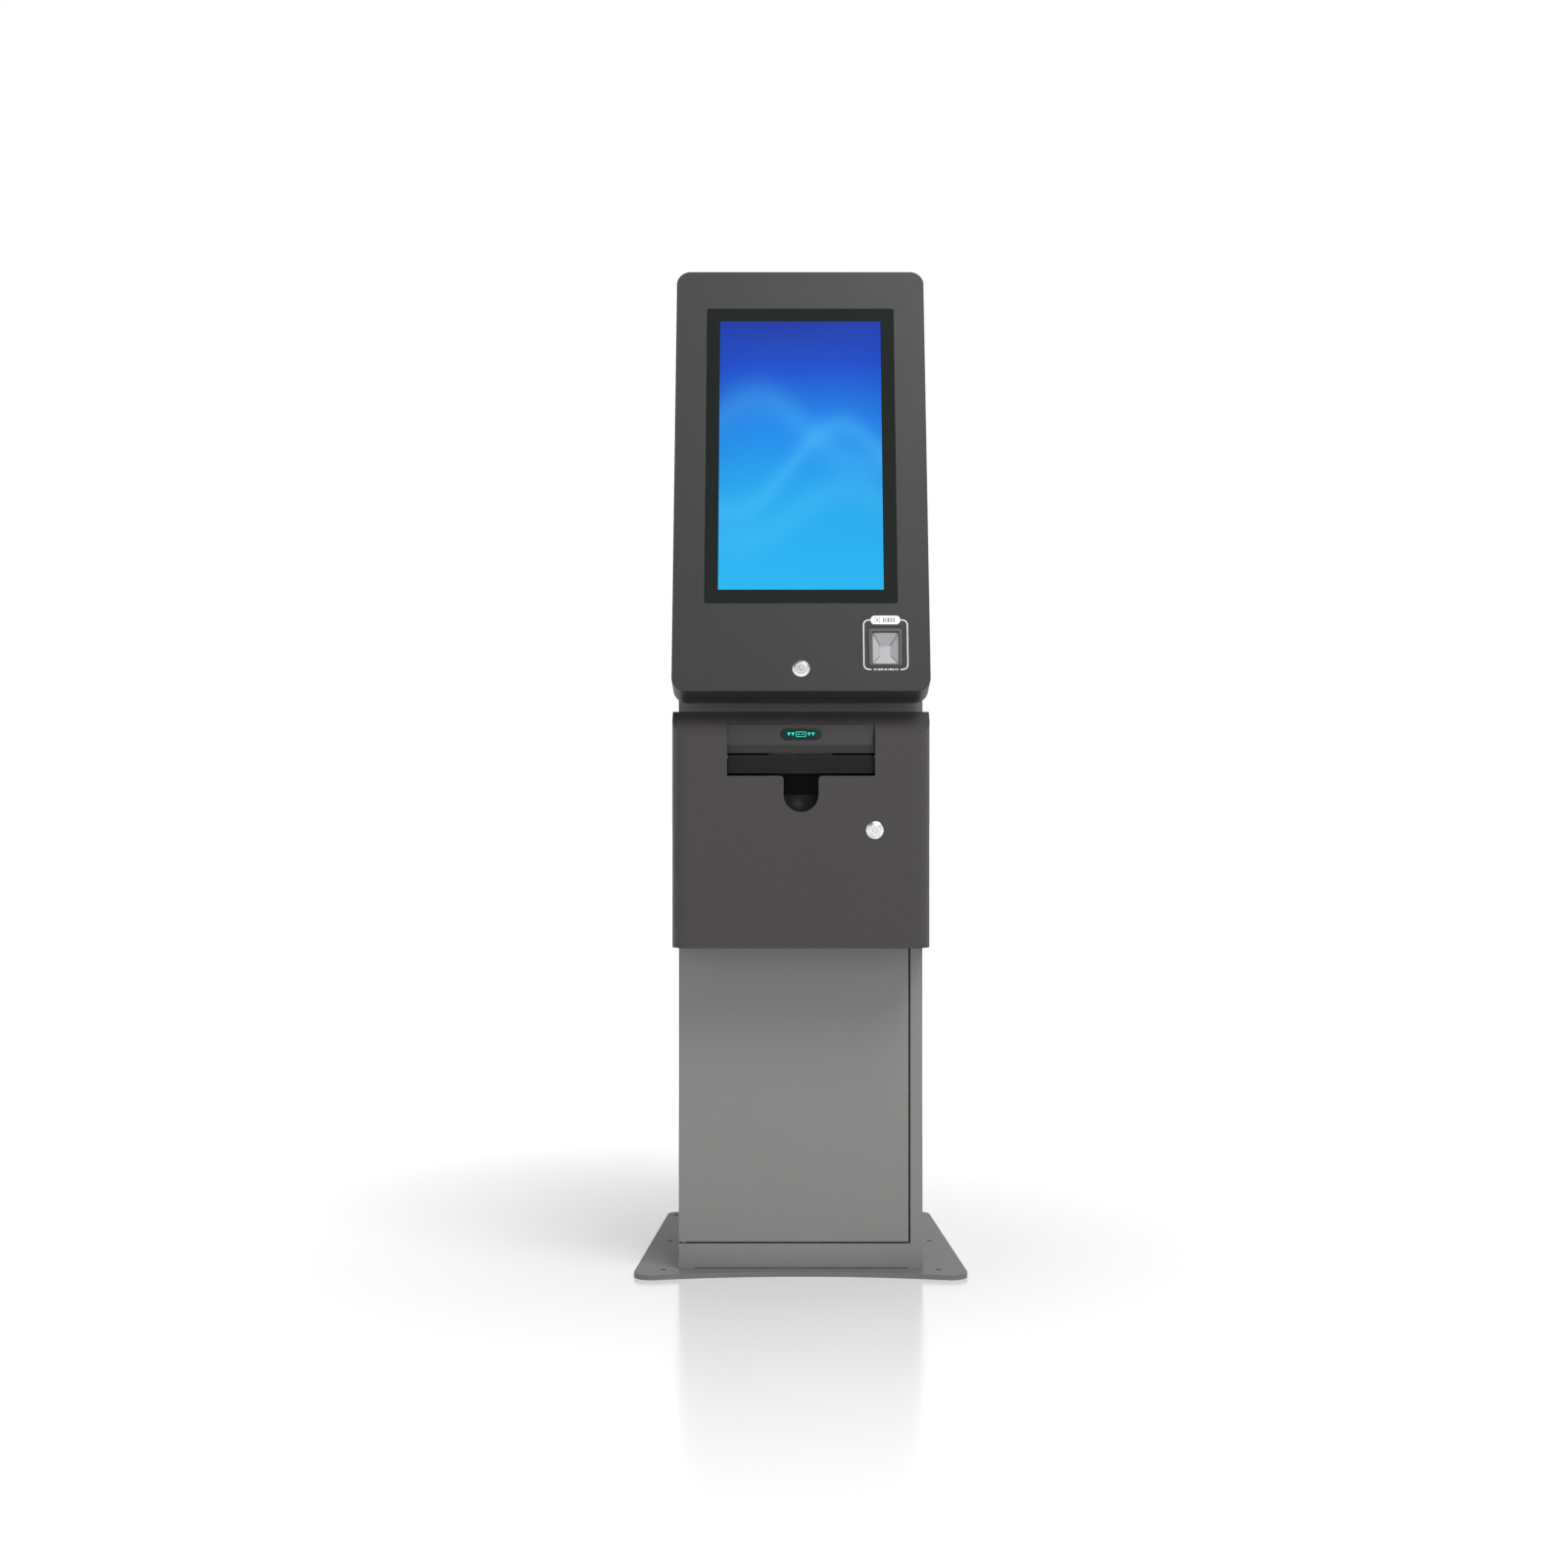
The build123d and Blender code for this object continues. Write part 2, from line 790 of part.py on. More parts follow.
def make_door_bolt():
    """Hand bolt with a knob facing the box, shown withdrawn."""
    knob_z = cover_bottom + access_margin + bolt_guide_pitch / 2 + bolt_guide_height
    bolt = rod_z(bolt_radius, bolt_foot, bolt_foot + bolt_length, bolt_x, bolt_y)
    tip = bolt_y - bolt_radius - bolt_knob_length
    bolt += rod_y(bolt_knob_stem, tip, bolt_y, bolt_x, knob_z)
    bolt += rod_y(bolt_knob_radius, tip - bolt_knob_stem, tip, bolt_x, knob_z)
    return bolt


# ---- Middle box cover ----
def cover_solid(inset, back):
    """Box with rounded front uprights and a sloped top, moved in by the inset."""
    half = cover_half - inset
    front = cover_front + inset
    low = cover_bottom + inset
    high = cover_top - inset
    solid = block(-half, half, front, back, low, high)
    uprights = solid.edges().filter_by(Axis.Z).sort_by(Axis.Y)[:2]
    solid = fillet(uprights, cover_corner - inset)
    length = hypot(slope_rise, slope_run)
    shift_y = inset * slope_rise / length
    shift_z = -inset * slope_run / length
    foot = (cover_front + shift_y - slope_run, cover_top + shift_z - 2 * slope_rise)
    crest = (cover_front + shift_y + 2 * slope_run, cover_top + shift_z + slope_rise)
    wedge = side_profile([foot, crest, (foot[0], crest[1])], -cover_width, cover_width)
    return solid - wedge


def outlet_cut():
    """Outlet opening with the thumb notch under it, flared where they meet."""
    mouth = Pos(0, (outlet_bottom + outlet_top) / 2) * Rectangle(
        outlet_width, outlet_top - outlet_bottom
    )
    slot_height = outlet_bottom - notch_centre_z
    slot = Pos(0, notch_centre_z + slot_height / 2) * Rectangle(2 * notch_radius, slot_height)
    sketch = mouth + slot + Pos(0, notch_centre_z) * Circle(notch_radius)
    corners = [
        vertex for vertex in sketch.vertices()
        if abs(vertex.Y - outlet_bottom) < slip and abs(abs(vertex.X) - notch_radius) < slip
    ]
    sketch = fillet(corners, notch_flare)
    placed = Plane.XZ.offset(-(cover_front + slope_run)) * sketch
    return extrude(placed, slope_run + through)


def make_cover_shell():
    """Pan-shaped cover with the outlet, the notch and the lock hole."""
    shell = cover_solid(0, cover_back)
    shell -= cover_solid(sheet, cover_back + through)
    shell -= outlet_cut()
    shell -= rod_y(
        lock_barrel_radius, cover_front - through, cover_front + sheet + through,
        cover_lock_x, cover_lock_z,
    )
    low, high = hinge_span()
    shell -= block(
        -cover_half - through, -cover_half + sheet + through,
        cover_hinge_y - cover_hinge_setback, cover_back + through,
        low - cover_hinge_gap, high + cover_hinge_gap,
    )
    return shell


def hinge_span():
    """Lower and upper ends of the cover's hinge barrel."""
    return cover_bottom + cover_hinge_margin, cover_top - cover_hinge_margin


def hinge_knuckles(first):
    """Z ranges of every second knuckle, counted from the first one."""
    low, high = hinge_span()
    pitch = (high - low + cover_hinge_gap) / cover_hinge_knuckles
    return [
        (low + index * pitch, low + (index + 1) * pitch - cover_hinge_gap)
        for index in range(first, cover_hinge_knuckles, 2)
    ]


def make_cover_hinge_column_leaf():
    """Hinge leaf on the column's front, with every odd knuckle."""
    low, high = hinge_span()
    edge = cover_hinge_x + cover_hinge_setback
    face = column_front - leaf_thickness
    leaf = block(edge, edge + leaf_width, face, column_front, low, high)
    for z0, z1 in hinge_knuckles(0):
        leaf += block(cover_hinge_x, edge, face, column_front, z0, z1)
        leaf += rod_z(cover_knuckle_radius, z0, z1, cover_hinge_x, cover_hinge_y)
    return leaf - rod_z(
        cover_pin_radius, low - through, high + through, cover_hinge_x, cover_hinge_y
    )


def make_cover_hinge_leaf():
    """Hinge leaf inside the cover's left wall, with every even knuckle."""
    low, high = hinge_span()
    wall = -cover_half + sheet
    edge = cover_hinge_y - cover_hinge_setback
    leaf = block(wall, wall + leaf_thickness, edge - leaf_width, edge, low, high)
    for z0, z1 in hinge_knuckles(1):
        leaf += block(wall, wall + leaf_thickness, edge, cover_hinge_y, z0, z1)
        leaf += rod_z(cover_knuckle_radius, z0, z1, cover_hinge_x, cover_hinge_y)
    return leaf - rod_z(
        cover_pin_radius + running, low - through, high + through, cover_hinge_x, cover_hinge_y
    )


def make_cover_hinge_pin():
    """Long pin of the cover's hinge."""
    low, high = hinge_span()
    return rod_z(cover_pin_radius, low, high, cover_hinge_x, cover_hinge_y)


# ---- Ticket outlet ----
def fascia_plane():
    """Frame of the leaning fascia: origin at its lower edge, Z out of its face."""
    lean = fascia_top_recess - fascia_recess
    rise = outlet_top - fascia_bottom
    length = hypot(lean, rise)
    return Plane(
        origin=(0, cover_front + fascia_recess, fascia_bottom),
        x_dir=(1, 0, 0),
        z_dir=(0, -rise / length, lean / length),
    )


def fascia_height():
    """Length of the fascia up its leaning face."""
    return hypot(fascia_top_recess - fascia_recess, outlet_top - fascia_bottom) - fascia_top_gap


def stadium(width, height, z0, z1):
    """Plate with half-round ends, centred on the fascia."""
    face = Pos(0, fascia_height() / 2, z0) * SlotOverall(width, height)
    return extrude(face, z1 - z0)


def make_outlet_fascia():
    """Fascia plate behind the outlet's upper half, with the sign's window."""
    plate = block(
        -outlet_width / 2, outlet_width / 2, 0, fascia_height(), -fascia_thickness, 0
    )
    plate -= stadium(sign_width, sign_height, -fascia_thickness - through, through)
    return fascia_plane().location * plate


def make_sign_lens():
    """Lit pill-shaped lens in the fascia."""
    return fascia_plane().location * stadium(
        sign_width, sign_height, -fascia_thickness, sign_proud
    )


def make_sign_backlight():
    """Light box behind the sign lens."""
    half = sign_width / 2 + sign_backlight_margin
    middle = fascia_height() / 2
    box = block(
        -half, half, middle - sign_height / 2 - sign_proud, middle + sign_height / 2 + sign_proud,
        -fascia_thickness - sign_backlight_depth, -fascia_thickness,
    )
    return fascia_plane().location * box


def make_outlet_lip():
    """Lip between the fascia and the flap, leaning under."""
    top = cover_front + fascia_recess
    points = [
        (top - lip_reach, fascia_bottom),
        (top - lip_foot, lip_bottom),
        (top - lip_foot + lip_thickness, lip_bottom),
        (top, fascia_bottom),
    ]
    return side_profile(points, -outlet_width / 2, outlet_width / 2)


def make_outlet_flap():
    """Swing flap with a rolled top round its pin and a hem below."""
    half = flap_width / 2
    face = cover_front + flap_setback
    flap = block(-half, half, face, face + flap_thickness, flap_bottom, flap_pivot_z)
    flap += rod_x(flap_knuckle_radius, -half, half, flap_pivot_y, flap_pivot_z)
    flap += rod_x(flap_hem, -half, half, face + flap_hem / 2, flap_bottom + flap_hem)
    return flap - rod_x(
        flap_pin_radius + running, -half - through, half + through, flap_pivot_y, flap_pivot_z
    )


def make_flap_pin():
    """Pin of the flap, held in the tray's cheeks."""
    reach = outlet_width / 2 + tray_wall
    return rod_x(flap_pin_radius, -reach, reach, flap_pivot_y, flap_pivot_z)


def make_ticket_tray():
    """Tray with two cheeks and a thumb scoop sunk into its front."""
    front = cover_front + sheet + tray_lead
    floor_low = notch_centre_z - tray_floor
    outer = outlet_width / 2 + tray_wall
    tray = block(-outer, outer, front, tray_back, floor_low, notch_centre_z)
    tray += block(-outer, outer, tray_back - tray_wall, tray_back, floor_low, tray_back_top)
    tray += block(
        -scoop_boss, scoop_boss, front, front + scoop_depth,
        notch_centre_z - scoop_boss, notch_centre_z,
    )
    cheek = side_profile(
        [
            (front, floor_low),
            (front, cheek_front_top),
            (cheek_back_y, cheek_back_top),
            (tray_back, cheek_back_top),
            (tray_back, floor_low),
        ],
        outlet_width / 2, outer,
    )
    tray += mirrored(cheek)
    tray -= Pos(0, cover_front + sheet, notch_centre_z) * Sphere(notch_radius)
    return tray - rod_x(flap_pin_radius, -outer - through, outer + through, flap_pivot_y, flap_pivot_z)


# ---- Cam locks, made about their own axis: Z out of the panel ----
def lock_barrel():
    """Barrel with its cone-shaped bezel, bored for the plug."""
    cone_height = lock_bezel_height - lock_bezel_foot
    cone = Cone(lock_bezel_radius, lock_bezel_crown, cone_height)
    barrel = Pos(0, 0, lock_bezel_foot + cone_height / 2) * cone
    barrel += rod_z(lock_bezel_radius, 0, lock_bezel_foot, 0, 0)
    barrel += rod_z(lock_barrel_radius, -lock_barrel_depth, 0, 0, 0)
    return barrel - rod_z(
        lock_plug_radius + running, -lock_barrel_depth - through, lock_bezel_height + through, 0, 0
    )


def lock_nut(panel):
    """Hexagon nut that clamps the barrel to a panel of the given thickness."""
    face = Pos(0, 0, -panel - lock_nut_height) * RegularPolygon(lock_nut_size, lock_nut_sides)
    return extrude(face, lock_nut_height) - rod_z(
        lock_barrel_radius, -lock_barrel_depth, 0, 0, 0
    )


def lock_plug():
    """Turning plug with a ring-shaped keyway and its lug slot."""
    face = lock_bezel_height + lock_plug_proud
    bottom = face - lock_key_depth
    plug = rod_z(lock_plug_radius, -lock_barrel_depth - cam_play, face, 0, 0)
    plug = fillet(plug.faces().sort_by(Axis.Z)[-1].edges(), lock_plug_round)
    keyway = rod_z(lock_key_radius, bottom, face + through, 0, 0)
    keyway -= rod_z(lock_key_radius - lock_key_ring, bottom, face + through, 0, 0)
    keyway += block(
        -lock_key_lug / 2, lock_key_lug / 2, lock_key_radius - lock_key_ring,
        lock_key_radius + lock_key_lug, bottom, face + through,
    )
    return plug - keyway


def lock_cam():
    """Flat cam on the plug's inner end, pointing along X."""
    top = -lock_barrel_depth - cam_play
    half = cam_width / 2
    return block(-half, cam_length, -half, half, top - cam_thickness, top)


COVER_LOCK = Plane(
    origin=(cover_lock_x, cover_lock_y, cover_lock_z), x_dir=(1, 0, 0), z_dir=(0, -1, 0)
)


def on_cover_lock(shape, turn=0.0):
    """Place a lock piece on the cover, turned about the lock's axis."""
    return COVER_LOCK.location * Rot(0, 0, turn) * shape


def on_head_lock(shape, turn=0.0):
    """Place a lock piece on the head, turned about the lock's axis."""
    return HEAD.location * Pos(0, head_lock_up, 0) * Rot(0, 0, turn) * shape


def make_cover_striker():
    """Bracket on the column that the cover's cam turns behind."""
    lip_back = cover_front + lock_barrel_depth
    lip_front = lip_back - striker_wall
    tip = cover_lock_x + cam_length
    post = tip + cam_play + striker_wall
    low = cover_lock_z - striker_width / 2
    high = cover_lock_z + striker_width / 2
    striker = block(tip - striker_overlap, post + striker_wall, lip_front, lip_back, low, high)
    striker += block(post, post + striker_wall, lip_front, column_front, low, high)
    foot = column_front - striker_wall
    striker += block(post, access_half_width + striker_width, foot, column_front, low, high)
    return striker


def make_head_striker():
    """Bracket in the head's back shell that the head's cam turns behind."""
    lip_low = -lock_barrel_depth
    lip_high = lip_low + striker_wall
    tip = head_lock_up - cam_length
    post = tip - 2 * striker_wall
    half = striker_width / 2
    back = -head_depth + sheet
    striker = block(-half, half, post, tip + striker_overlap, lip_low, lip_high)
    striker += block(-half, half, post, post + striker_wall, back, lip_high)
    striker += block(-half, half, post, post + striker_width, back, back + striker_wall)
    return HEAD.location * striker


# ---- Head ----
def make_head_door_shell():
    """Front pan of the head, open for the glass, the scanner and the lock."""
    pan = rounded_block(head_width, head_length, head_corner, 0, -head_door_depth, 0)
    rim = pan.faces().sort_by(Axis.Z)[-1].edges()
    pan = fillet(rim, head_edge)
    pan -= rounded_block(
        head_width - 2 * sheet, head_length - 2 * sheet, head_corner - sheet,
        sheet, -head_door_depth - through, -head_face,
    )
    pan -= rounded_block(
        glass_width + 2 * slip, glass_length + 2 * slip, glass_corner + slip,
        glass_base - slip, -head_face - through, through,
    )
    pan -= rounded_block(
        scanner_width, scanner_height, scanner_corner,
        scanner_base, -head_face - through, through, scanner_x,
    )
    pan -= rod_z(lock_barrel_radius, -head_face - through, through, 0, head_lock_up)
    return HEAD.location * pan


def make_screen_glass():
    """Touch glass, set just below the face."""
    glass = rounded_block(
        glass_width, glass_length, glass_corner, glass_base,
        -glass_sink - glass_thickness, -glass_sink,
    )
    return HEAD.location * glass


def gasket_back():
    """Depth of the gasket's back face, measured from the head's face."""
    return glass_sink + glass_thickness + gasket_depth


def make_screen_gasket():
    """Stepped gasket that the glass sits in."""
    gasket = rounded_block(
        glass_width + 2 * gasket_lap, glass_length + 2 * gasket_lap, glass_corner + gasket_lap,
        glass_base - gasket_lap, -gasket_back(), -head_face,
    )
    gasket -= rounded_block(
        glass_width, glass_length, glass_corner, glass_base,
        -glass_sink - glass_thickness, through,
    )
    gasket -= rounded_block(
        glass_width - 2 * gasket_window, glass_length - 2 * gasket_window, glass_corner,
        glass_base + gasket_window, -gasket_back() - through, through,
    )
    return HEAD.location * gasket


def panel_base():
    """Height of the display panel's lower edge up the face."""
    return glass_base + (glass_length - panel_length) / 2


def make_display_panel():
    """Display panel with the raised electronics cover on its back."""
    front = -gasket_back()
    back = front - panel_depth
    half = panel_width / 2
    panel = block(-half, half, panel_base(), panel_base() + panel_length, back, front)
    middle = panel_base() + panel_length / 2
    panel += block(
        -panel_back_width / 2, panel_back_width / 2,
        middle - panel_back_length / 2, middle + panel_back_length / 2,
        back - panel_back_height, back,
    )
    return HEAD.location * panel


def make_display_bars():
    """Two bars across the pan that hold the display panel."""
    top = -gasket_back() - panel_depth
    half = head_width / 2 - sheet
    centre = panel_base() + panel_length / 2
    offset = panel_back_length / 2 + bar_gap + bar_width / 2
    bars = Part()
    for middle in (centre - offset, centre + offset):
        bars += block(
            -half, half, middle - bar_width / 2, middle + bar_width / 2, top - bar_thickness, top
        )
    return HEAD.location * bars


def make_head_back_shell():
    """Back pan of the head, bolted to the column."""
    front = -head_door_depth - head_seam
    shell = rounded_block(head_width, head_length, head_corner, 0, -head_depth, front)
    shell -= rounded_block(
        head_width - 2 * sheet, head_length - 2 * sheet, head_corner - sheet,
        sheet, -head_depth + sheet, front + through,
    )
    shell -= block(
        -cable_half_width, cable_half_width, cable_low, cable_high,
        -head_depth - through, -head_depth + sheet + through,
    )
    for x, up in head_bolt_points():
        shell -= rod_z(
            head_bolt_radius, -head_depth - through, -head_depth + sheet + through, x, up
        )
    for index in range(vent_count):
        up = head_vent_base + index * vent_pitch
        shell -= block(
            -vent_length / 2, vent_length / 2, up, up + vent_height,
            -head_depth - through, -head_depth + sheet + through,
        )
    return HEAD.location * shell


# ---- Head hinges ----
def make_head_hinge_door_leaves():
    """Hinge leaves on the door's top edge, each with its middle knuckle."""
    half = hinge_length / 2
    inner = half - hinge_end_knuckle - hinge_gap
    near = -head_hinge_in + hinge_knuckle_radius + hinge_gap
    top = head_length + hinge_leaf
    leaves = Part()
    for side in (-1, 1):
        x = side * hinge_x
        leaf = rod_x(hinge_knuckle_radius, x - inner, x + inner, head_hinge_up, -head_hinge_in)
        leaf += block(x - inner, x + inner, head_length, top, -head_hinge_in, near)
        leaf += block(
            x - half, x + half, head_length, top, near, -head_hinge_in + hinge_leaf_reach
        )
        leaves += leaf - rod_x(
            hinge_pin_radius + running, x - half, x + half, head_hinge_up, -head_hinge_in
        )
    return HEAD.location * leaves


def make_head_hinge_back_leaves():
    """Hinge leaves on the back shell's top edge, each with its end knuckles."""
    half = hinge_length / 2
    near = -head_hinge_in - hinge_knuckle_radius - hinge_gap
    top = head_length + hinge_leaf
    leaves = Part()
    for side in (-1, 1):
        x = side * hinge_x
        leaf = block(x - half, x + half, head_length, top, -head_hinge_in - hinge_back_reach, near)
        for x0 in (x - half, x + half - hinge_end_knuckle):
            x1 = x0 + hinge_end_knuckle
            leaf += rod_x(hinge_knuckle_radius, x0, x1, head_hinge_up, -head_hinge_in)
            leaf += block(x0, x1, head_length, top, near, -head_hinge_in)
        leaves += leaf - rod_x(
            hinge_pin_radius, x - half - through, x + half + through, head_hinge_up, -head_hinge_in
        )
    return HEAD.location * leaves


def make_head_hinge_pins():
    """Pins of the head hinges, with upset ends."""
    half = hinge_length / 2
    end = half + hinge_leaf
    head = (hinge_pin_radius + hinge_knuckle_radius) / 2
    pins = Part()
    for side in (-1, 1):
        x = side * hinge_x
        pin = rod_x(hinge_pin_radius, x - half, x + half, head_hinge_up, -head_hinge_in)
        pin += rod_x(head, x - end, x - half, head_hinge_up, -head_hinge_in)
        pin += rod_x(head, x + half, x + end, head_hinge_up, -head_hinge_in)
        pins += pin
    return HEAD.location * pins


# ---- Code scanner ----
def funnel(wide, high, wide_base, z_top, narrow, low, z_bottom):
    """Four-sided funnel between two upright rectangles, about the scanner's centre line."""
    middle = wide_base + high / 2
    mouth = Pos(scanner_x, middle, z_top) * Rectangle(wide, high)
    throat = Pos(scanner_x, middle, z_bottom) * Rectangle(narrow, low)
    return loft([mouth.face(), throat.face()])


def make_scanner_bezel():
    """Dark frame in the face, sloping in to the scanner's window."""
    back = -head_face - scanner_flange_depth
    bezel = rounded_block(
        scanner_width - 2 * scanner_slit, scanner_height - 2 * scanner_slit,
        scanner_corner - scanner_slit, scanner_base + scanner_slit, back, -through, scanner_x,
    )
    bezel += rounded_block(
        scanner_width + 2 * scanner_flange, scanner_height + 2 * scanner_flange,
        scanner_corner + scanner_flange, scanner_base - scanner_flange,
        back, -head_face, scanner_x,
    )
    rim = (scanner_width - window_width) / 4
    bezel -= funnel(
        window_width + rim, window_height + rim, window_base - rim / 2, 0,
        window_width, window_height, back,
    )
    return HEAD.location * bezel


def make_scanner_reflector():
    """Pale reflector that slopes in on four sides to a flat, frosted window."""
    top = -head_face - scanner_flange_depth
    bottom = top - reflector_depth
    reflector = rounded_block(
        window_width + 2 * reflector_margin, window_height + 2 * reflector_margin,
        scanner_corner, window_base - reflector_margin, bottom, top, scanner_x,
    )
    reflector -= funnel(
        window_width, window_height, window_base, top, well_width, well_height, top - well_depth
    )
    return HEAD.location * reflector


def make_scanner_module():
    """Scanner body behind the reflector's window."""
    top = -head_face - scanner_flange_depth - reflector_depth
    middle = window_base + window_height / 2
    half = window_width / 2 + module_margin
    half_height = window_height / 2 + module_margin
    module = block(
        scanner_x - half, scanner_x + half, middle - half_height, middle + half_height,
        top - module_depth, top,
    )
    return HEAD.location * module


# ---- Ticket printer ----
def make_printer_frame():
    """Base and two side plates, bored for the bushes, the motor and the spindle."""
    outer = printer_half_width + printer_wall
    base = printer_shelf_z
    top = base + printer_height
    frame = block(-outer, outer, printer_front, printer_back, base, base + printer_wall)
    plate = block(printer_half_width, outer, printer_front, printer_back, base, top)
    for y in (platen_y, presenter_y):
        plate -= rod_x(bush_radius, printer_half_width - through, outer + through, y, roller_z)
    plate -= rod_x(spindle_radius, printer_half_width - through, outer + through, roll_y, roll_z)
    frame += mirrored(plate)
    return frame - rod_x(
        roller_shaft_radius, printer_half_width - through, outer + through, motor_y, motor_z
    )


def make_roller_bushes():
    """Four flanged bushes of the two rollers."""
    bushes = Part()
    outer = printer_half_width + printer_wall
    for y in (platen_y, presenter_y):
        bush = rod_x(bush_radius, printer_half_width, outer, y, roller_z)
        bush += rod_x(bush_radius + bush_flange, outer, outer + bush_flange, y, roller_z)
        bush -= rod_x(
            roller_shaft_radius + running, printer_half_width - through,
            outer + bush_flange + through, y, roller_z,
        )
        bushes += mirrored(bush)
    return bushes


def make_roller(y):
    """Rubber-covered roller with its shaft, at the given depth."""
    outer = printer_half_width + printer_wall
    roller = rod_x(roller_radius, -roller_half_length, roller_half_length, y, roller_z)
    left = -outer - 2 * bush_flange
    return roller + rod_x(roller_shaft_radius, left, pulley_start + pulley_width, y, roller_z)


def make_pulley(radius, bore, y, z):
    """Flanged belt pulley."""
    end = pulley_start + pulley_width
    pulley = rod_x(radius, pulley_start, end, y, z)
    pulley += rod_x(radius + pulley_flange, pulley_start, pulley_start + pulley_flange, y, z)
    pulley += rod_x(radius + pulley_flange, end - pulley_flange, end, y, z)
    if bore > 0:
        pulley -= rod_x(bore, pulley_start - through, end + through, y, z)
    return pulley


def make_motor_pulley():
    """Motor pulley with the motor's shaft."""
    start = printer_half_width - motor_length / 2
    pulley = make_pulley(motor_pulley_radius, 0, motor_y, motor_z)
    return pulley + rod_x(roller_shaft_radius / 2, start, pulley_start, motor_y, motor_z)


def make_printer_motor():
    """Motor body on the right side plate, bored for its shaft."""
    start = printer_half_width - motor_length
    motor = rod_x(motor_radius, start, printer_half_width, motor_y, motor_z)
    return motor - rod_x(
        roller_shaft_radius / 2 + running, printer_half_width - motor_length / 2 - through,
        printer_half_width + through, motor_y, motor_z,
    )


def belt_loop(gap, x0, x1):
    """Solid inside the belt's path, standing off every pulley by the gap."""
    rims = [
        (platen_y, roller_z, roller_pulley_radius),
        (presenter_y, roller_z, roller_pulley_radius),
        (motor_y, motor_z, motor_pulley_radius),
    ]
    circles = Sketch() + [Pos(y, z) * Circle(radius + gap) for y, z, radius in rims]
    hull = Plane.YZ.offset(x0) * make_hull(circles.edges())
    return extrude(hull, x1 - x0, dir=(1, 0, 0))


def make_drive_belt():
    """Belt round the motor pulley and the two roller pulleys."""
    middle = pulley_start + pulley_width / 2
    x0 = middle - belt_width / 2
    x1 = middle + belt_width / 2
    belt = belt_loop(slip + belt_thickness, x0, x1)
    return belt - belt_loop(slip, x0 - through, x1 + through)


def make_print_head():
    """Thermal head bridging the side plates over the platen."""
    low = roller_z + roller_radius + paper_path
    half = print_head_length / 2
    return block(
        -printer_half_width, printer_half_width, platen_y - half, platen_y + half,
        low, low + print_head_height,
    )


def make_ticket_cutter():
    """Cutter's upper and lower blocks, either side of the paper's path."""
    middle = (platen_y + presenter_y) / 2
    half = cutter_length / 2
    path = roller_z + roller_radius
    width = printer_half_width
    upper = block(
        -width, width, middle - half, middle + half, path + sheet, path + sheet + cutter_height
    )
    lower = block(
        -width, width, middle - half, middle + half, path - sheet - cutter_height, path - sheet
    )
    return upper + lower


def make_paper_roll():
    """Roll of ticket paper."""
    roll = rod_x(roll_radius, -roll_half_width, roll_half_width, roll_y, roll_z)
    return roll - rod_x(
        spindle_radius + slip, -roll_half_width - through, roll_half_width + through, roll_y, roll_z
    )


def make_roll_spindle():
    """Spindle that the paper roll hangs on."""
    outer = printer_half_width + printer_wall
    return rod_x(spindle_radius, -outer, outer, roll_y, roll_z)


def make_ticket_chute():
    """Open chute from the printer down to the tray."""
    outer = printer_half_width + printer_wall
    start = (printer_front, chute_start_z)
    end = (chute_front, chute_start_z - chute_drop)
    floor = [start, end, (end[0], end[1] - chute_wall), (start[0], start[1] - chute_wall)]
    chute = side_profile(floor, -outer, outer)
    side = [start, end, (end[0], end[1] + chute_side), (start[0], start[1] + chute_side)]
    return chute + mirrored(side_profile(side, outer - chute_wall, outer))


# ---- Shelves and equipment ----
def make_shelf(level):
    """Flat shelf with turned-down sides, welded between the column's walls."""
    half = column_half - sheet
    front = jamb_back
    shelf = block(-half, half, front, shelf_back, level - shelf_thickness, level)
    flange = block(half - shelf_thickness, half, front, shelf_back, level - shelf_lip, level)
    return shelf + mirrored(flange)


def make_equipment_shelves():
    """Printer shelf and computer shelf."""
    return make_shelf(printer_shelf_z) + make_shelf(computer_shelf_z)


def make_note_dispenser():
    """Open-fronted housing under the printer shelf."""
    top = printer_shelf_z - shelf_thickness
    low = top - dispenser_height
    half = dispenser_half_width
    wall = dispenser_wall
    housing = block(-half, half, dispenser_front, dispenser_back, low, top)
    return housing - block(
        -half + wall, half - wall, dispenser_front - through, dispenser_back - wall,
        low + wall, top - wall,
    )


def make_note_cassette():
    """Note cassette standing in the dispenser, with a pull handle."""
    half = dispenser_half_width - dispenser_wall - cassette_slack
    low = printer_shelf_z - shelf_thickness - dispenser_height + dispenser_wall
    top = low + dispenser_height - 2 * dispenser_wall - cassette_slack
    back = dispenser_back - dispenser_wall - cassette_slack
    cassette = block(-half, half, dispenser_front, back, low, top)
    reach = dispenser_front - cassette_handle_reach
    grip = cassette_handle_width / 2
    middle = (low + top) / 2
    bar = cassette_handle_bar
    handle = block(-grip, grip, reach, dispenser_front, middle - bar / 2, middle + bar / 2)
    handle -= block(
        -grip + bar, grip - bar, reach + bar, dispenser_front, middle - bar, middle + bar
    )
    return cassette + handle


def make_computer_unit():
    """Fanless computer with cooling fins."""
    half = computer_width / 2
    depth = computer_depth / 2
    top = computer_shelf_z + computer_height
    unit = block(-half, half, -depth, depth, computer_shelf_z, top)
    pitch = computer_width / computer_fins
    for index in range(computer_fins):
        x = -half + (index + 0.5) * pitch
        unit += block(
            x - computer_fin_width / 2, x + computer_fin_width / 2, -depth, depth,
            top, top + computer_fin_height,
        )
    return unit


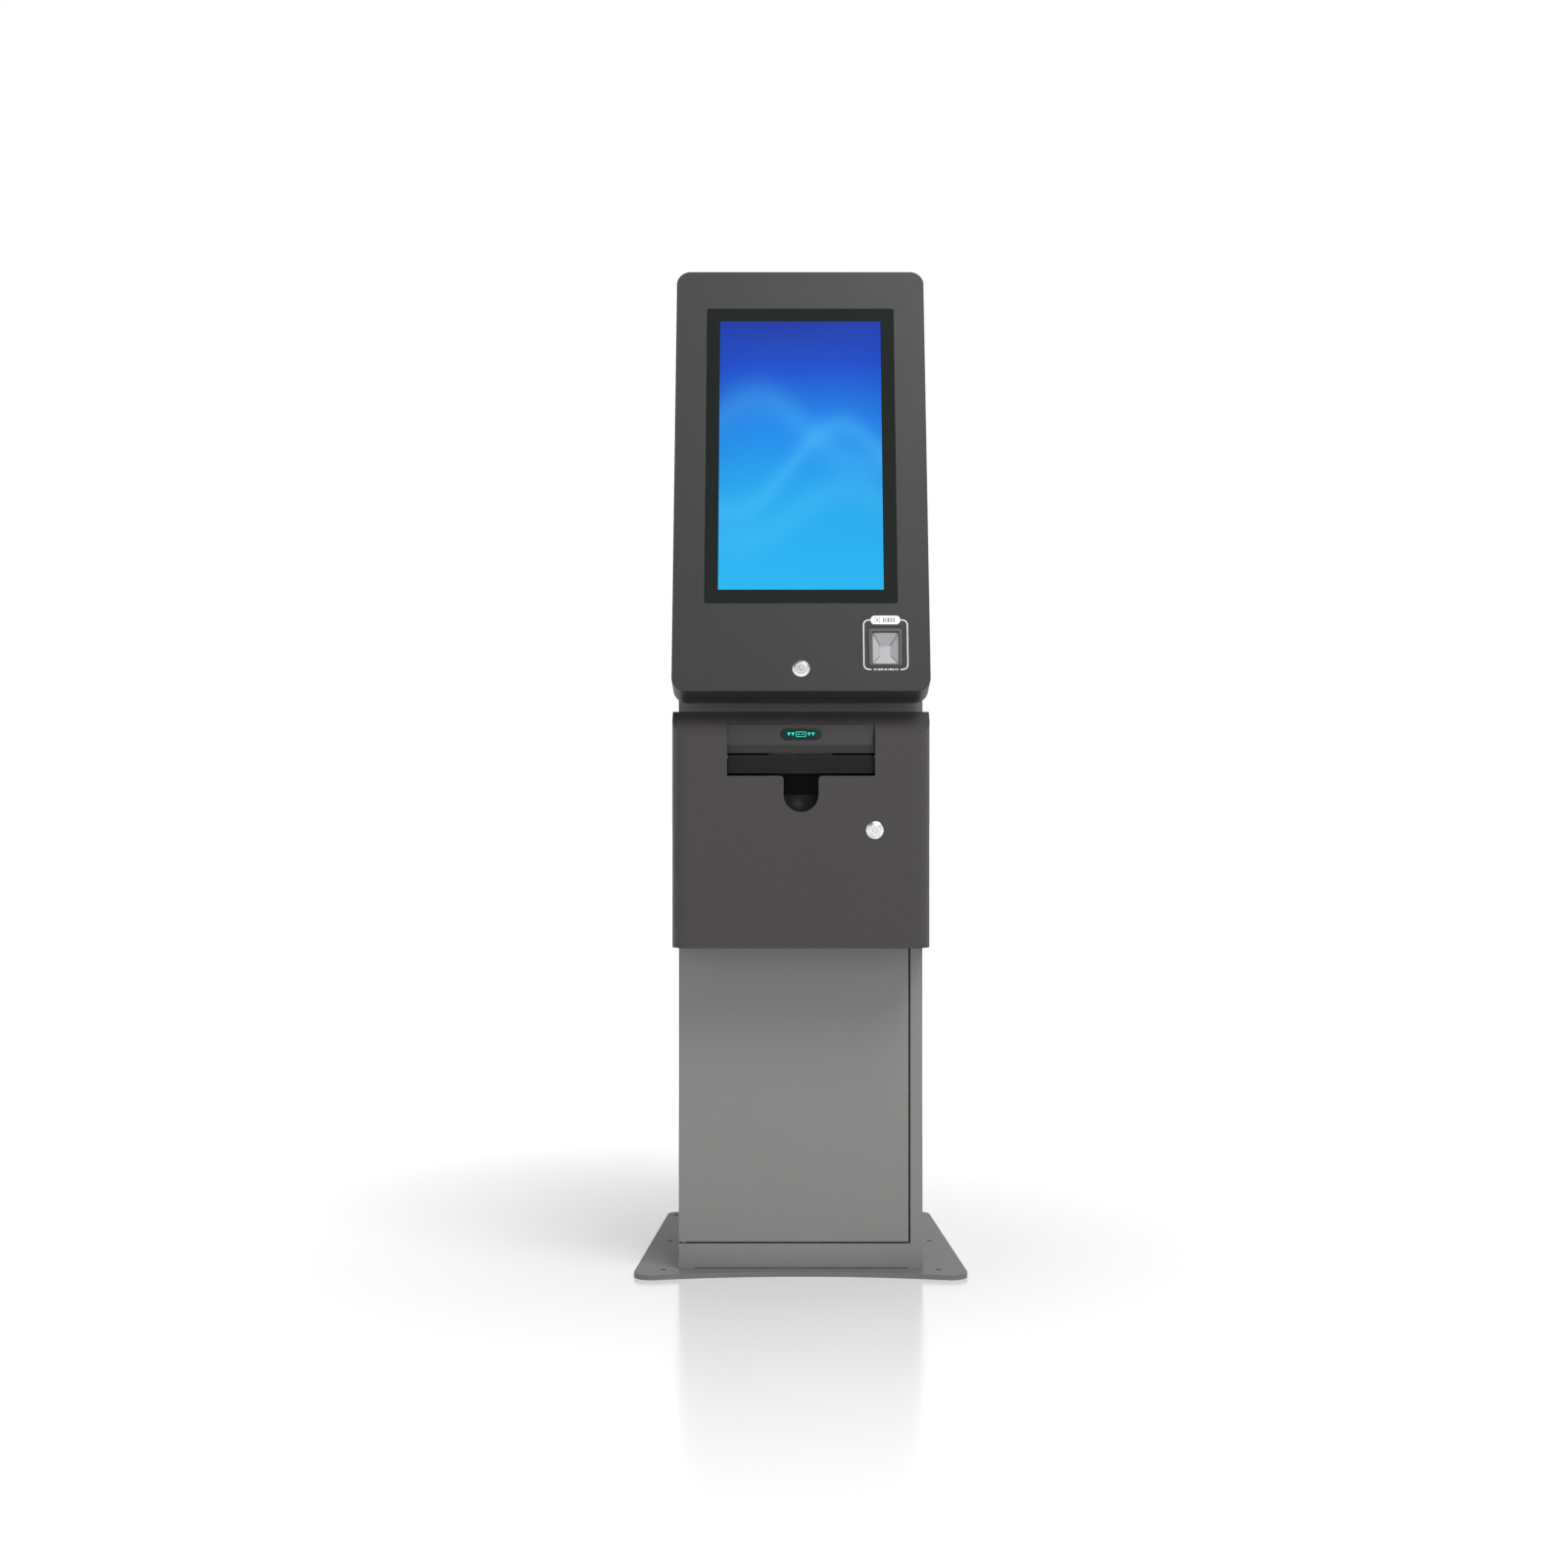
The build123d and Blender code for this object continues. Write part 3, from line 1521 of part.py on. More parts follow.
def make_power_supply():
    """Power supply on the column's right wall."""
    wall = column_half - sheet
    return block(
        wall - supply_width, wall, supply_back - supply_depth, supply_back,
        supply_base, supply_base + supply_height,
    )


# ---- Every sub-part ----
save("base_plate", make_base_plate())
save("column_shell", make_column_shell())
save("frame_screws", make_column_bolts() + make_head_bolts() + make_rear_panel_screws())
save("rear_panel", make_rear_panel())
save("fan_frame", make_fan_frame())
save("fan_rotor", make_fan_rotor())
save("power_inlet", make_power_inlet())

save("lower_door_panel", make_lower_door())
save("lower_door_stiffener", make_door_stiffener())
save("lower_door_pins", make_door_pins())
save("door_bolt_guides", make_bolt_guides())
save("door_bolt", make_door_bolt())

save("cover_shell", make_cover_shell())
save("cover_hinge_column_leaf", make_cover_hinge_column_leaf())
save("cover_hinge_cover_leaf", make_cover_hinge_leaf())
save("cover_hinge_pin", make_cover_hinge_pin())
save("lock_strikers", make_cover_striker() + make_head_striker())
save("cover_lock_barrel", on_cover_lock(lock_barrel() + lock_nut(sheet)))
save("cover_lock_plug", on_cover_lock(lock_plug()))
save("cover_lock_cam", on_cover_lock(lock_cam(), -90))

save("outlet_fascia", make_outlet_fascia() + make_outlet_lip())
save("sign_lens", make_sign_lens())
save("sign_backlight", make_sign_backlight())
save("outlet_flap", make_outlet_flap())
save("flap_pin", make_flap_pin())
save("ticket_tray", make_ticket_tray())

save("head_door_shell", make_head_door_shell())
save("screen_glass", make_screen_glass())
save("screen_gasket", make_screen_gasket())
save("display_panel", make_display_panel())
save("display_bars", make_display_bars())
save("head_back_shell", make_head_back_shell())
save("head_hinge_door_leaves", make_head_hinge_door_leaves())
save("head_hinge_back_leaves", make_head_hinge_back_leaves())
save("head_hinge_pins", make_head_hinge_pins())
save("head_lock_barrel", on_head_lock(lock_barrel() + lock_nut(head_face)))
save("head_lock_plug", on_head_lock(lock_plug()))
save("head_lock_cam", on_head_lock(lock_cam(), 180))

save("scanner_bezel", make_scanner_bezel())
save("scanner_reflector", make_scanner_reflector())
save("scanner_module", make_scanner_module())

save("printer_frame", make_printer_frame())
save("roller_bushes", make_roller_bushes())
save("platen_roller", make_roller(platen_y))
save("presenter_roller", make_roller(presenter_y))
save("platen_pulley", make_pulley(roller_pulley_radius, roller_shaft_radius, platen_y, roller_z))
save(
    "presenter_pulley",
    make_pulley(roller_pulley_radius, roller_shaft_radius, presenter_y, roller_z),
)
save("motor_pulley", make_motor_pulley())
save("printer_motor", make_printer_motor())
save("drive_belt", make_drive_belt())
save("print_head", make_print_head())
save("ticket_cutter", make_ticket_cutter())
save("paper_roll", make_paper_roll())
save("roll_spindle", make_roll_spindle())
save("ticket_chute", make_ticket_chute())

save("equipment_shelves", make_equipment_shelves())
save("note_dispenser", make_note_dispenser())
save("note_cassette", make_note_cassette())
save("computer_unit", make_computer_unit())
save("power_supply", make_power_supply())
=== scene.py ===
"""Looks of the self-service ticket kiosk: finishes, printed marks and small hardware.

Every length is in metres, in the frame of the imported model: +X is the user's right, +Y is
towards the back and +Z is up, with the origin under the middle of the base plate.
"""

import json
import logging
import math
from dataclasses import dataclass, field
from enum import Enum
from typing import Callable, Iterable, Sequence, Union

import bmesh
import bpy
from mathutils import Matrix, Vector

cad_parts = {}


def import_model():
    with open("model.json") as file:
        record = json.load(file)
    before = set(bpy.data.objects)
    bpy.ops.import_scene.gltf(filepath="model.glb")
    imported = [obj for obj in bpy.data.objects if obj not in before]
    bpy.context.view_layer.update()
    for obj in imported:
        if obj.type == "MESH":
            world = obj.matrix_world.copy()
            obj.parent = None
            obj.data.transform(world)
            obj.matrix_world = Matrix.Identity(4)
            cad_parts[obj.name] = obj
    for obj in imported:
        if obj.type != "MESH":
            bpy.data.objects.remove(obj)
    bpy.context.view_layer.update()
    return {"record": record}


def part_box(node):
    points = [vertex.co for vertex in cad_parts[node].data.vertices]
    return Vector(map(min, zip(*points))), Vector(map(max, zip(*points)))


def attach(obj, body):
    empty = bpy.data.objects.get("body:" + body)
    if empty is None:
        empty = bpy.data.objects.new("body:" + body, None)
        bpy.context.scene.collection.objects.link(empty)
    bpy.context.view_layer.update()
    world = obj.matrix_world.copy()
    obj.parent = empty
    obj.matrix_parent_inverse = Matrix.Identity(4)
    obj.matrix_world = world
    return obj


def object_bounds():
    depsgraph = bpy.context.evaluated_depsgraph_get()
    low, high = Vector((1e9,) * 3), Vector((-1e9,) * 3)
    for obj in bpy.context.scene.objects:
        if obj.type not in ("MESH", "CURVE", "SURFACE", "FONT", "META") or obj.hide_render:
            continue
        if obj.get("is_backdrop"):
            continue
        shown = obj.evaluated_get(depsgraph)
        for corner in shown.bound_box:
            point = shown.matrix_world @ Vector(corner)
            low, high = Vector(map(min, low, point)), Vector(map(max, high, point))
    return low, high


LOG = logging.getLogger("kiosk")
MM = 0.001

Socket = bpy.types.NodeSocket
Number = Union[float, Socket]
Colour = Union[Sequence[float], Socket]


# ---------------------------------------------------------------------------
# Colour and shader helpers
# ---------------------------------------------------------------------------
def linear(hex_colour: str) -> tuple[float, float, float, float]:
    """Linear RGBA of an sRGB colour.

    Args:
        hex_colour: Six hex digits, such as "4e4d4e".

    Returns:
        Four floats, with alpha 1.
    """
    channels = (int(hex_colour[i:i + 2], 16) / 255 for i in (0, 2, 4))
    values = [c / 12.92 if c <= 0.04045 else ((c + 0.055) / 1.055) ** 2.4 for c in channels]
    return values[0], values[1], values[2], 1.0


def cells_per_metre(size_mm: float) -> float:
    """Texture scale that gives features of the size, for coordinates in metres."""
    return 1.0 / (size_mm * MM)


@dataclass
class Graph:
    """One material's node tree, with a single way to add a linked node."""

    name: str
    material: bpy.types.Material = field(init=False)

    def __post_init__(self) -> None:
        """Create the material with an empty node tree."""
        self.material = bpy.data.materials.new(self.name)
        self.material.use_nodes = True
        self.material.node_tree.nodes.clear()

    def node(self, kind: str, inputs: dict | None = None, **settings) -> bpy.types.Node:
        """Add a node.

        Args:
            kind: Node type name without its ShaderNode prefix.
            inputs: Socket name or index to a value, or to another node's output socket.
            settings: Attributes of the node.

        Returns:
            The new node.
        """
        made = self.material.node_tree.nodes.new("ShaderNode" + kind)
        for key, value in settings.items():
            setattr(made, key, value)
        for key, value in (inputs or {}).items():
            if isinstance(value, Socket):
                self.material.node_tree.links.new(value, made.inputs[key])
            else:
                made.inputs[key].default_value = value
        return made

    def math(self, operation: str, *values: Number) -> Socket:
        """Result of one math operation on values or sockets."""
        return self.node("Math", dict(enumerate(values)), operation=operation).outputs[0]

    def ramp(self, source: Socket, stops: Sequence[tuple[float, Sequence[float]]]) -> Socket:
        """Colour of the source on a ramp.

        Args:
            source: Place on the ramp, in 0 to 1.
            stops: Positions and linear RGBA colours, in rising order.

        Returns:
            The colour.
        """
        made = self.node("ValToRGB", {0: source})
        elements = made.color_ramp.elements
        while len(elements) < len(stops):
            elements.new(0.5)
        for element, (position, colour) in zip(elements, stops):
            element.position = position
            element.color = colour
        return made.outputs[0]

    def spread(self, source: Socket, low: float, high: float) -> Socket:
        """Source in 0 to 1 remapped to the range low to high."""
        made = self.node("MapRange", {0: source, 3: low, 4: high})
        return made.outputs[0]

    def mix(self, factor: Number, first: Colour, second: Colour) -> Socket:
        """Colour that goes from the first to the second as the factor goes from 0 to 1."""
        made = self.node("Mix", {0: factor, 6: first, 7: second}, data_type="RGBA", blend_type="MIX")
        return made.outputs[2]

    def scaled(self, colour: Colour, factor: Number) -> Socket:
        """Colour with its three channels multiplied by the factor."""
        return self.node("VectorMath", {0: colour, "Scale": factor}, operation="SCALE").outputs[0]

    def rounded(self, radius_mm: float, samples: int = 4) -> Socket:
        """Normals that round the edges by the radius."""
        return self.node("Bevel", {"Radius": radius_mm * MM}, samples=samples).outputs[0]

    def bump(self, height: Socket, strength: float, depth_mm: float,
             normal: Union[Socket, None] = None) -> Socket:
        """Normals with a fine relief.

        Args:
            height: Relief, in 0 to 1.
            strength: Share of the relief that shows.
            depth_mm: Depth of the relief, in millimetres.
            normal: Normals under the relief, or None for the surface's own.

        Returns:
            The normals.
        """
        inputs = {"Height": height, "Strength": strength, "Distance": depth_mm * MM}
        if normal is not None:
            inputs["Normal"] = normal
        return self.node("Bump", inputs).outputs[0]

    def object_point(self) -> Socket:
        """The object's own coordinates, in metres."""
        return self.node("TexCoord").outputs["Object"]

    def noise(self, size_mm: float, detail: float = 2.0,
              point: Union[Socket, None] = None) -> Socket:
        """Noise with features of a size.

        Args:
            size_mm: Size of the features, in millimetres.
            detail: Number of finer layers.
            point: Coordinates in metres, or None for the object's own.

        Returns:
            The noise, in 0 to 1.
        """
        inputs = {
            "Vector": point or self.object_point(),
            "Scale": cells_per_metre(size_mm),
            "Detail": detail,
        }
        return self.node("TexNoise", inputs).outputs[0]

    def finish(self, **sockets) -> bpy.types.Material:
        """Close the graph with one principled shader.

        Args:
            sockets: Socket names, with underscores for spaces, to values or sockets.

        Returns:
            The finished material.
        """
        inputs = {key.replace("_", " "): value for key, value in sockets.items()}
        shader = self.node("BsdfPrincipled", inputs)
        self.node("OutputMaterial", {"Surface": shader.outputs[0]})
        return self.material


# ---------------------------------------------------------------------------
# Finishes, one class for each real material and process
# ---------------------------------------------------------------------------
@dataclass(frozen=True)
class PowderCoat:
    """Baked polyester powder on steel: fine orange peel and soft, broad highlights."""

    name: str
    colour: str
    roughness: float = 0.50
    peel_mm: float = 1.1
    peel_depth_mm: float = 0.096
    mottling: float = 0.035
    rounding_mm: float = 0.8
    cloud_mm: float = 140.0
    speck_mm: float = 0.45
    gloss_patch_mm: float = 35.0
    wear_patch_mm: float = 9.0
    wear: float = 0.35
    worn_gain: float = 1.9
    worn_lift: float = 0.02
    # Cosine between the rounded and the flat normal, where wear begins and where it is full.
    wear_begins: float = 0.995
    wear_full: float = 0.80

    def build(self) -> bpy.types.Material:
        """Material with peel, faint cloudiness and worn, paler edges."""
        g = Graph(self.name)
        base = linear(self.colour)
        cloud = g.noise(self.cloud_mm, 3.0)
        grain = g.noise(self.speck_mm, 1.0)
        tint = g.spread(cloud, 1.0 - self.mottling, 1.0 + self.mottling)
        speck = g.spread(grain, 1.0 - self.mottling, 1.0 + self.mottling)
        shade = g.math("MULTIPLY", tint, speck)
        tinted = g.scaled(base[:3], shade)
        rounded = g.rounded(self.rounding_mm)
        flat = g.node("NewGeometry").outputs["Normal"]
        agree = g.node("VectorMath", {0: rounded, 1: flat}, operation="DOT_PRODUCT").outputs["Value"]
        edge = g.node(
            "MapRange", {0: agree, 1: self.wear_begins, 2: self.wear_full, 3: 0.0, 4: self.wear}
        ).outputs[0]
        patch = g.spread(g.noise(self.wear_patch_mm, 4.0), -0.6, 1.6)
        worn = g.math("MULTIPLY", edge, g.node("Clamp", {0: patch}).outputs[0])
        lighter = tuple(min(1.0, c * self.worn_gain + self.worn_lift) for c in base[:3]) + (1.0,)
        colour = g.mix(worn, tinted, lighter)
        gloss = g.spread(
            g.noise(self.gloss_patch_mm, 4.0), self.roughness - 0.035, self.roughness + 0.045
        )
        peel = g.bump(g.noise(self.peel_mm, 2.0), 0.35, self.peel_depth_mm, rounded)
        return g.finish(Base_Color=colour, Roughness=gloss, Normal=peel, Specular_IOR_Level=0.30)


@dataclass(frozen=True)
class SheetSteel:
    """Zinc-coated or plated steel: faint spangle and rolling streaks."""

    name: str
    colour: str
    roughness: float = 0.34
    spangle_mm: float = 7.0
    streak: tuple[float, float, float] = (1.0, 1.0, 12.0)

    def build(self) -> bpy.types.Material:
        """Material whose brightness and gloss vary from crystal to crystal."""
        g = Graph(self.name)
        base = linear(self.colour)
        point = g.object_point()
        cells = g.node(
            "TexVoronoi", {"Vector": point, "Scale": cells_per_metre(self.spangle_mm)}
        ).outputs["Color"]
        crystal = g.node("RGBToBW", {0: cells}).outputs[0]
        stretched = g.node("VectorMath", {0: point, 1: self.streak}, operation="MULTIPLY").outputs[0]
        streaks = g.noise(4.0, 3.0, stretched)
        shade = g.math("MULTIPLY", g.spread(crystal, 0.90, 1.05), g.spread(streaks, 0.94, 1.05))
        colour = g.scaled(base[:3], shade)
        gloss = g.spread(crystal, self.roughness - 0.06, self.roughness + 0.08)
        bump = g.bump(streaks, 0.1, 0.1, g.rounded(0.3))
        return g.finish(Base_Color=colour, Metallic=1.0, Roughness=gloss, Normal=bump)


@dataclass(frozen=True)
class TurnedChrome:
    """Chrome-plated zinc with a satin sheen, wipe marks and fine scratches."""

    name: str
    colour: str = "e2e2e4"
    roughness: float = 0.26

    def build(self) -> bpy.types.Material:
        """Material with fine scratches and smudges in its gloss."""
        g = Graph(self.name)
        smudge = g.noise(3.5, 4.0)
        fine = g.noise(0.25, 2.0)
        gloss = g.math("ADD", g.spread(smudge, self.roughness - 0.07, self.roughness + 0.10),
                       g.spread(fine, -0.02, 0.03))
        base = linear(self.colour)
        tint = g.spread(smudge, 0.93, 1.03)
        colour = g.scaled(base[:3], tint)
        bump = g.bump(fine, 0.05, 0.05, g.rounded(0.35, 6))
        return g.finish(Base_Color=colour, Metallic=1.0, Roughness=gloss, Normal=bump)


@dataclass(frozen=True)
class MouldedPlastic:
    """Injection-moulded ABS with a spark-eroded grain."""

    name: str
    colour: str
    roughness: float = 0.5
    grain_mm: float = 0.5
    depth: float = 0.25
    specular: float = 0.5

    def build(self) -> bpy.types.Material:
        """Material with grain, flow marks and slight colour variation."""
        g = Graph(self.name)
        base = linear(self.colour)
        flow = g.noise(40.0, 3.0)
        grain = g.noise(self.grain_mm, 1.0)
        tint = g.spread(flow, 0.94, 1.06)
        colour = g.scaled(base[:3], tint)
        gloss = g.spread(flow, self.roughness - 0.04, self.roughness + 0.06)
        bump = g.bump(grain, self.depth, 0.06, g.rounded(0.4))
        return g.finish(Base_Color=colour, Roughness=gloss, Normal=bump,
                        Specular_IOR_Level=self.specular)


@dataclass(frozen=True)
class Rubber:
    """Ground or moulded rubber: nearly matt, with a dusty bloom."""

    name: str
    colour: str = "17171a"

    def build(self) -> bpy.types.Material:
        """Material with a pale bloom in patches and a fine ground texture."""
        g = Graph(self.name)
        bloom = g.spread(g.noise(18.0, 4.0), 0.0, 0.22)
        colour = g.mix(bloom, linear(self.colour), linear("4a4a4c"))
        fine = g.noise(0.3, 2.0)
        bump = g.bump(fine, 0.2, 0.05)
        return g.finish(Base_Color=colour, Roughness=g.spread(fine, 0.68, 0.85), Normal=bump)


@dataclass(frozen=True)
class WoundPaper:
    """Thermal paper wound on a core: the roll's ends show its layers."""

    name: str = "wound_paper"
    layer_mm: float = 0.5

    def build(self) -> bpy.types.Material:
        """Material with rings about the roll's centre and faint fibre."""
        g = Graph(self.name)
        low, high = (Vector(corner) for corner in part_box("paper_roll"))
        centre = (low + high) / 2
        offset = g.node("VectorMath", {0: g.object_point(), 1: centre}, operation="SUBTRACT").outputs[0]
        across = g.node("VectorMath", {0: offset, 1: (0.0, 1.0, 1.0)}, operation="MULTIPLY").outputs[0]
        radius = g.node("VectorMath", {0: across}, operation="LENGTH").outputs["Value"]
        ring = g.math("SINE", g.math("MULTIPLY", radius, math.tau * cells_per_metre(self.layer_mm)))
        fibre = g.noise(0.8, 3.0)
        shade = g.math("MULTIPLY", g.spread(ring, 0.97, 1.0), g.spread(fibre, 0.95, 1.02))
        base = linear("f1efe8")
        colour = g.scaled(base[:3], shade)
        bump = g.bump(ring, 0.2, 0.05)
        return g.finish(Base_Color=colour, Roughness=g.spread(fibre, 0.7, 0.85), Normal=bump)


class Artwork(Enum):
    """Colours of the lit picture, from its lower edge to its upper edge."""

    LOW = "2bb8f5"
    LOWER_MIDDLE = "2aaef1"
    MIDDLE = "268cf0"
    UPPER_MIDDLE = "2655d2"
    TOP = "2942aa"
    GLOW = "58c8ff"
    DEEP = "1d3fb4"


@dataclass(frozen=True)
class Wave:
    """One soft wave across the lit picture, in shares of the picture's length.

    Attributes:
        swing: How far its crest rises and falls, and how far it is shifted sideways.
        level: Height of its middle.
        width: Distance from its crest at which it has faded to about a third.
        strength: Share of the glow colour at its crest.
    """

    swing: float
    level: float
    width: float
    strength: float


@dataclass(frozen=True)
class TouchGlass:
    """Back-printed cover glass: black border, and a lit panel bonded behind it."""

    name: str = "touch_glass"
    active_width_mm: float = 268.1
    active_length_mm: float = 476.6
    border: str = "1f2322"
    waves: tuple[Wave, ...] = (
        Wave(0.16, 0.44, 0.050, 0.30), Wave(-0.12, 0.58, 0.070, 0.22), Wave(0.10, 0.27, 0.060, 0.20),
    )
    wave_turn: float = 2.4
    sway_across: float = 1.6
    sway_up: float = 2.2
    sway_depth: float = 0.02
    rim_power: float = 3.0
    rim_strength: float = 0.55

    def build(self) -> bpy.types.Material:
        """Material with the border, the lit picture and finger marks in the gloss."""
        g = Graph(self.name)
        facet = Facet.of("screen_glass")
        offset = g.node(
            "VectorMath", {0: g.object_point(), 1: facet.centre}, operation="SUBTRACT"
        ).outputs[0]
        across = g.node("VectorMath", {0: offset, 1: facet.right}, operation="DOT_PRODUCT").outputs["Value"]
        along = g.node("VectorMath", {0: offset, 1: facet.up}, operation="DOT_PRODUCT").outputs["Value"]
        half_width = self.active_width_mm * MM / 2
        half_length = self.active_length_mm * MM / 2
        in_width = g.math("LESS_THAN", g.math("ABSOLUTE", across), half_width)
        in_length = g.math("LESS_THAN", g.math("ABSOLUTE", along), half_length)
        lit = g.math("MULTIPLY", in_width, in_length)
        picture = self.picture(g, across, along, half_width, half_length)
        pixel = g.node("TexWhiteNoise", {"Vector": g.object_point()}).outputs["Value"]
        level = g.spread(pixel, 0.985, 1.015)
        shown = g.scaled(picture, level)
        smear = g.noise(30.0, 4.0)
        gloss = g.spread(smear, 0.05, 0.13)
        colour = g.mix(lit, linear(self.border), linear("03060c"))
        return g.finish(
            Base_Color=colour, Roughness=gloss, Emission_Color=shown,
            Emission_Strength=g.math("MULTIPLY", lit, 0.97), Specular_IOR_Level=0.12,
        )

    def picture(self, g: Graph, across: Socket, along: Socket, half_width: float,
                half_length: float) -> Socket:
        """Abstract blue picture: an upright gradient with broad soft waves and a low glow.

        Args:
            g: Graph that the picture is drawn in.
            across: Distance to the right of the glass's middle, in metres.
            along: Distance above the glass's middle, in metres.
            half_width: Half the picture's width, in metres.
            half_length: Half the picture's length, in metres.

        Returns:
            The picture's colour.
        """
        height = g.node("MapRange", {0: along, 1: -half_length, 2: half_length}).outputs[0]
        side = g.math("DIVIDE", across, half_width)
        phase = g.math(
            "ADD", g.math("MULTIPLY", side, self.sway_across), g.math("MULTIPLY", height, self.sway_up)
        )
        bent = g.math("ADD", height, g.math("MULTIPLY", g.math("SINE", phase), self.sway_depth))
        colour = g.ramp(bent, [
            (0.0, linear(Artwork.LOW.value)),
            (0.33, linear(Artwork.LOWER_MIDDLE.value)),
            (0.61, linear(Artwork.MIDDLE.value)),
            (0.83, linear(Artwork.UPPER_MIDDLE.value)),
            (1.0, linear(Artwork.TOP.value)),
        ])
        for wave in self.waves:
            turn = g.math("MULTIPLY", g.math("ADD", side, wave.swing), self.wave_turn)
            crest = g.math("ADD", wave.level, g.math("MULTIPLY", g.math("SINE", turn), wave.swing))
            away = g.math("DIVIDE", g.math("SUBTRACT", height, crest), wave.width)
            band = g.math("EXPONENT", g.math("MULTIPLY", g.math("MULTIPLY", away, away), -1.0))
            colour = g.mix(g.math("MULTIPLY", band, wave.strength), colour, linear(Artwork.GLOW.value))
        rim = g.math("POWER", g.math("ABSOLUTE", side), self.rim_power)
        upper = g.node("Clamp", {0: g.math("MULTIPLY", height, height)}).outputs[0]
        dim = g.math("MULTIPLY", g.math("MULTIPLY", rim, upper), self.rim_strength)
        return g.mix(dim, colour, linear(Artwork.DEEP.value))


@dataclass(frozen=True)
class PrintedInk:
    """Screen-printed ink on powder coat: a thin, slightly uneven film."""

    name: str
    colour: str

    def build(self) -> bpy.types.Material:
        """Material whose film varies a little in tone and gloss."""
        g = Graph(self.name)
        thin = g.spread(g.noise(1.2, 3.0), 0.90, 1.03)
        base = linear(self.colour)
        colour = g.scaled(base[:3], thin)
        bump = g.bump(g.noise(1.1, 2.0), 0.2, 0.05)
        return g.finish(Base_Color=colour, Roughness=g.spread(thin, 0.40, 0.55), Normal=bump)


@dataclass(frozen=True)
class LitLens:
    """Diffusing acrylic with a soft glow from behind."""

    name: str
    colour: str
    glow: str
    strength: float

    def build(self) -> bpy.types.Material:
        """Material with a softly uneven glow under a clear gloss."""
        g = Graph(self.name)
        hot = g.spread(g.noise(14.0, 1.0), 0.75, 1.15)
        glow = g.math("MULTIPLY", hot, self.strength)
        gloss = g.spread(g.noise(6.0, 3.0), 0.12, 0.22)
        return g.finish(
            Base_Color=linear(self.colour), Roughness=gloss,
            Emission_Color=linear(self.glow), Emission_Strength=glow,
        )


@dataclass(frozen=True)
class StudioFloor:
    """Pale, slightly glossy studio floor that glows a little by itself, with painted shade: its glow is
    dimmer near the kiosk.
    """

    name: str = "studio_floor"
    painted_shade_near_glow: float = 0.20
    far_glow: float = 0.60
    near: float = 0.35
    far: float = 1.9

    def build(self) -> bpy.types.Material:
        """Material that glows more away from the kiosk, which paints shade round the base, with faint
        unevenness in its gloss.
        """
        g = Graph(self.name)
        gloss = g.spread(g.noise(220.0, 3.0), 0.15, 0.20)
        tint = g.mix(g.noise(500.0, 2.0), linear("cecece"), linear("d2d2d2"))
        # Painted shade: the glow dims towards the origin under the kiosk, darkening the floor round the
        # base.
        distance = g.node("VectorMath", {0: g.object_point()}, operation="LENGTH").outputs["Value"]
        glow = g.node(
            "MapRange",
            {0: distance, 1: self.near, 2: self.far, 3: self.painted_shade_near_glow, 4: self.far_glow},
        ).outputs[0]
        return g.finish(
            Base_Color=tint, Roughness=gloss, Specular_IOR_Level=0.7,
            Emission_Color=linear("ffffff"), Emission_Strength=glow,
        )


# ---------------------------------------------------------------------------
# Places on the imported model
# ---------------------------------------------------------------------------
@dataclass(frozen=True)
class Facet:
    """A flat face of a CAD node, with its own axes and size."""

    centre: Vector
    normal: Vector
    up: Vector
    right: Vector
    width: float
    height: float

    FACING = 0.85
    PARALLEL = 0.9999
    SAME_DEPTH = 0.2 * MM

    @classmethod
    def of(cls, node: str, toward: Sequence[float] = (0.0, -1.0, 0.0)) -> "Facet":
        """Find the node's largest flat face towards a direction.

        Args:
            node: Name of the CAD node.
            toward: Direction that the face looks in, roughly.

        Returns:
            The face's centre, axes and extents.
        """
        mesh = bpy.data.objects[node].data
        looking = [p for p in mesh.polygons if p.normal.dot(Vector(toward)) > cls.FACING]
        normal = max(looking, key=lambda p: p.area).normal.copy()
        depth = max(looking, key=lambda p: p.area).center.dot(normal)
        points = [
            mesh.vertices[index].co
            for p in looking
            if p.normal.dot(normal) > cls.PARALLEL
            and abs(p.center.dot(normal) - depth) < cls.SAME_DEPTH
            for index in p.vertices
        ]
        helper = Vector((0.0, 0.0, 1.0)) if abs(normal.z) < 0.9 else Vector((0.0, 1.0, 0.0))
        right = helper.cross(normal).normalized()
        up = normal.cross(right).normalized()
        spans = [(min(p.dot(a) for p in points), max(p.dot(a) for p in points)) for a in (right, up)]
        centre = right * sum(spans[0]) / 2 + up * sum(spans[1]) / 2 + normal * depth
        return cls(centre, normal, up, right, spans[0][1] - spans[0][0], spans[1][1] - spans[1][0])

    def matrix(self, across: float = 0.0, along: float = 0.0, out: float = 0.0) -> Matrix:
        """Placement whose X is right, Y is up and Z is out of the face, offset in metres."""
        origin = self.centre + self.right * across + self.up * along + self.normal * out
        turn = Matrix((self.right, self.up, self.normal)).transposed().to_4x4()
        return Matrix.Translation(origin) @ turn


# ---------------------------------------------------------------------------
# Mesh builders
# ---------------------------------------------------------------------------
Outline = list[tuple[float, float]]


def arc(x: float, y: float, radius: float, start: float, end: float, steps: int = 8) -> Outline:
    """Points on an arc, with angles in degrees."""
    turns = (math.radians(start + (end - start) * i / steps) for i in range(steps + 1))
    return [(x + radius * math.cos(t), y + radius * math.sin(t)) for t in turns]


def rounded_rectangle(width: float, height: float, radius: float, steps: int = 8) -> Outline:
    """Closed outline of a rounded rectangle about the origin."""
    x, y = width / 2 - radius, height / 2 - radius
    return (
        arc(x, y, radius, 0, 90, steps) + arc(-x, y, radius, 90, 180, steps)
        + arc(-x, -y, radius, 180, 270, steps) + arc(x, -y, radius, 270, 360, steps)
    )


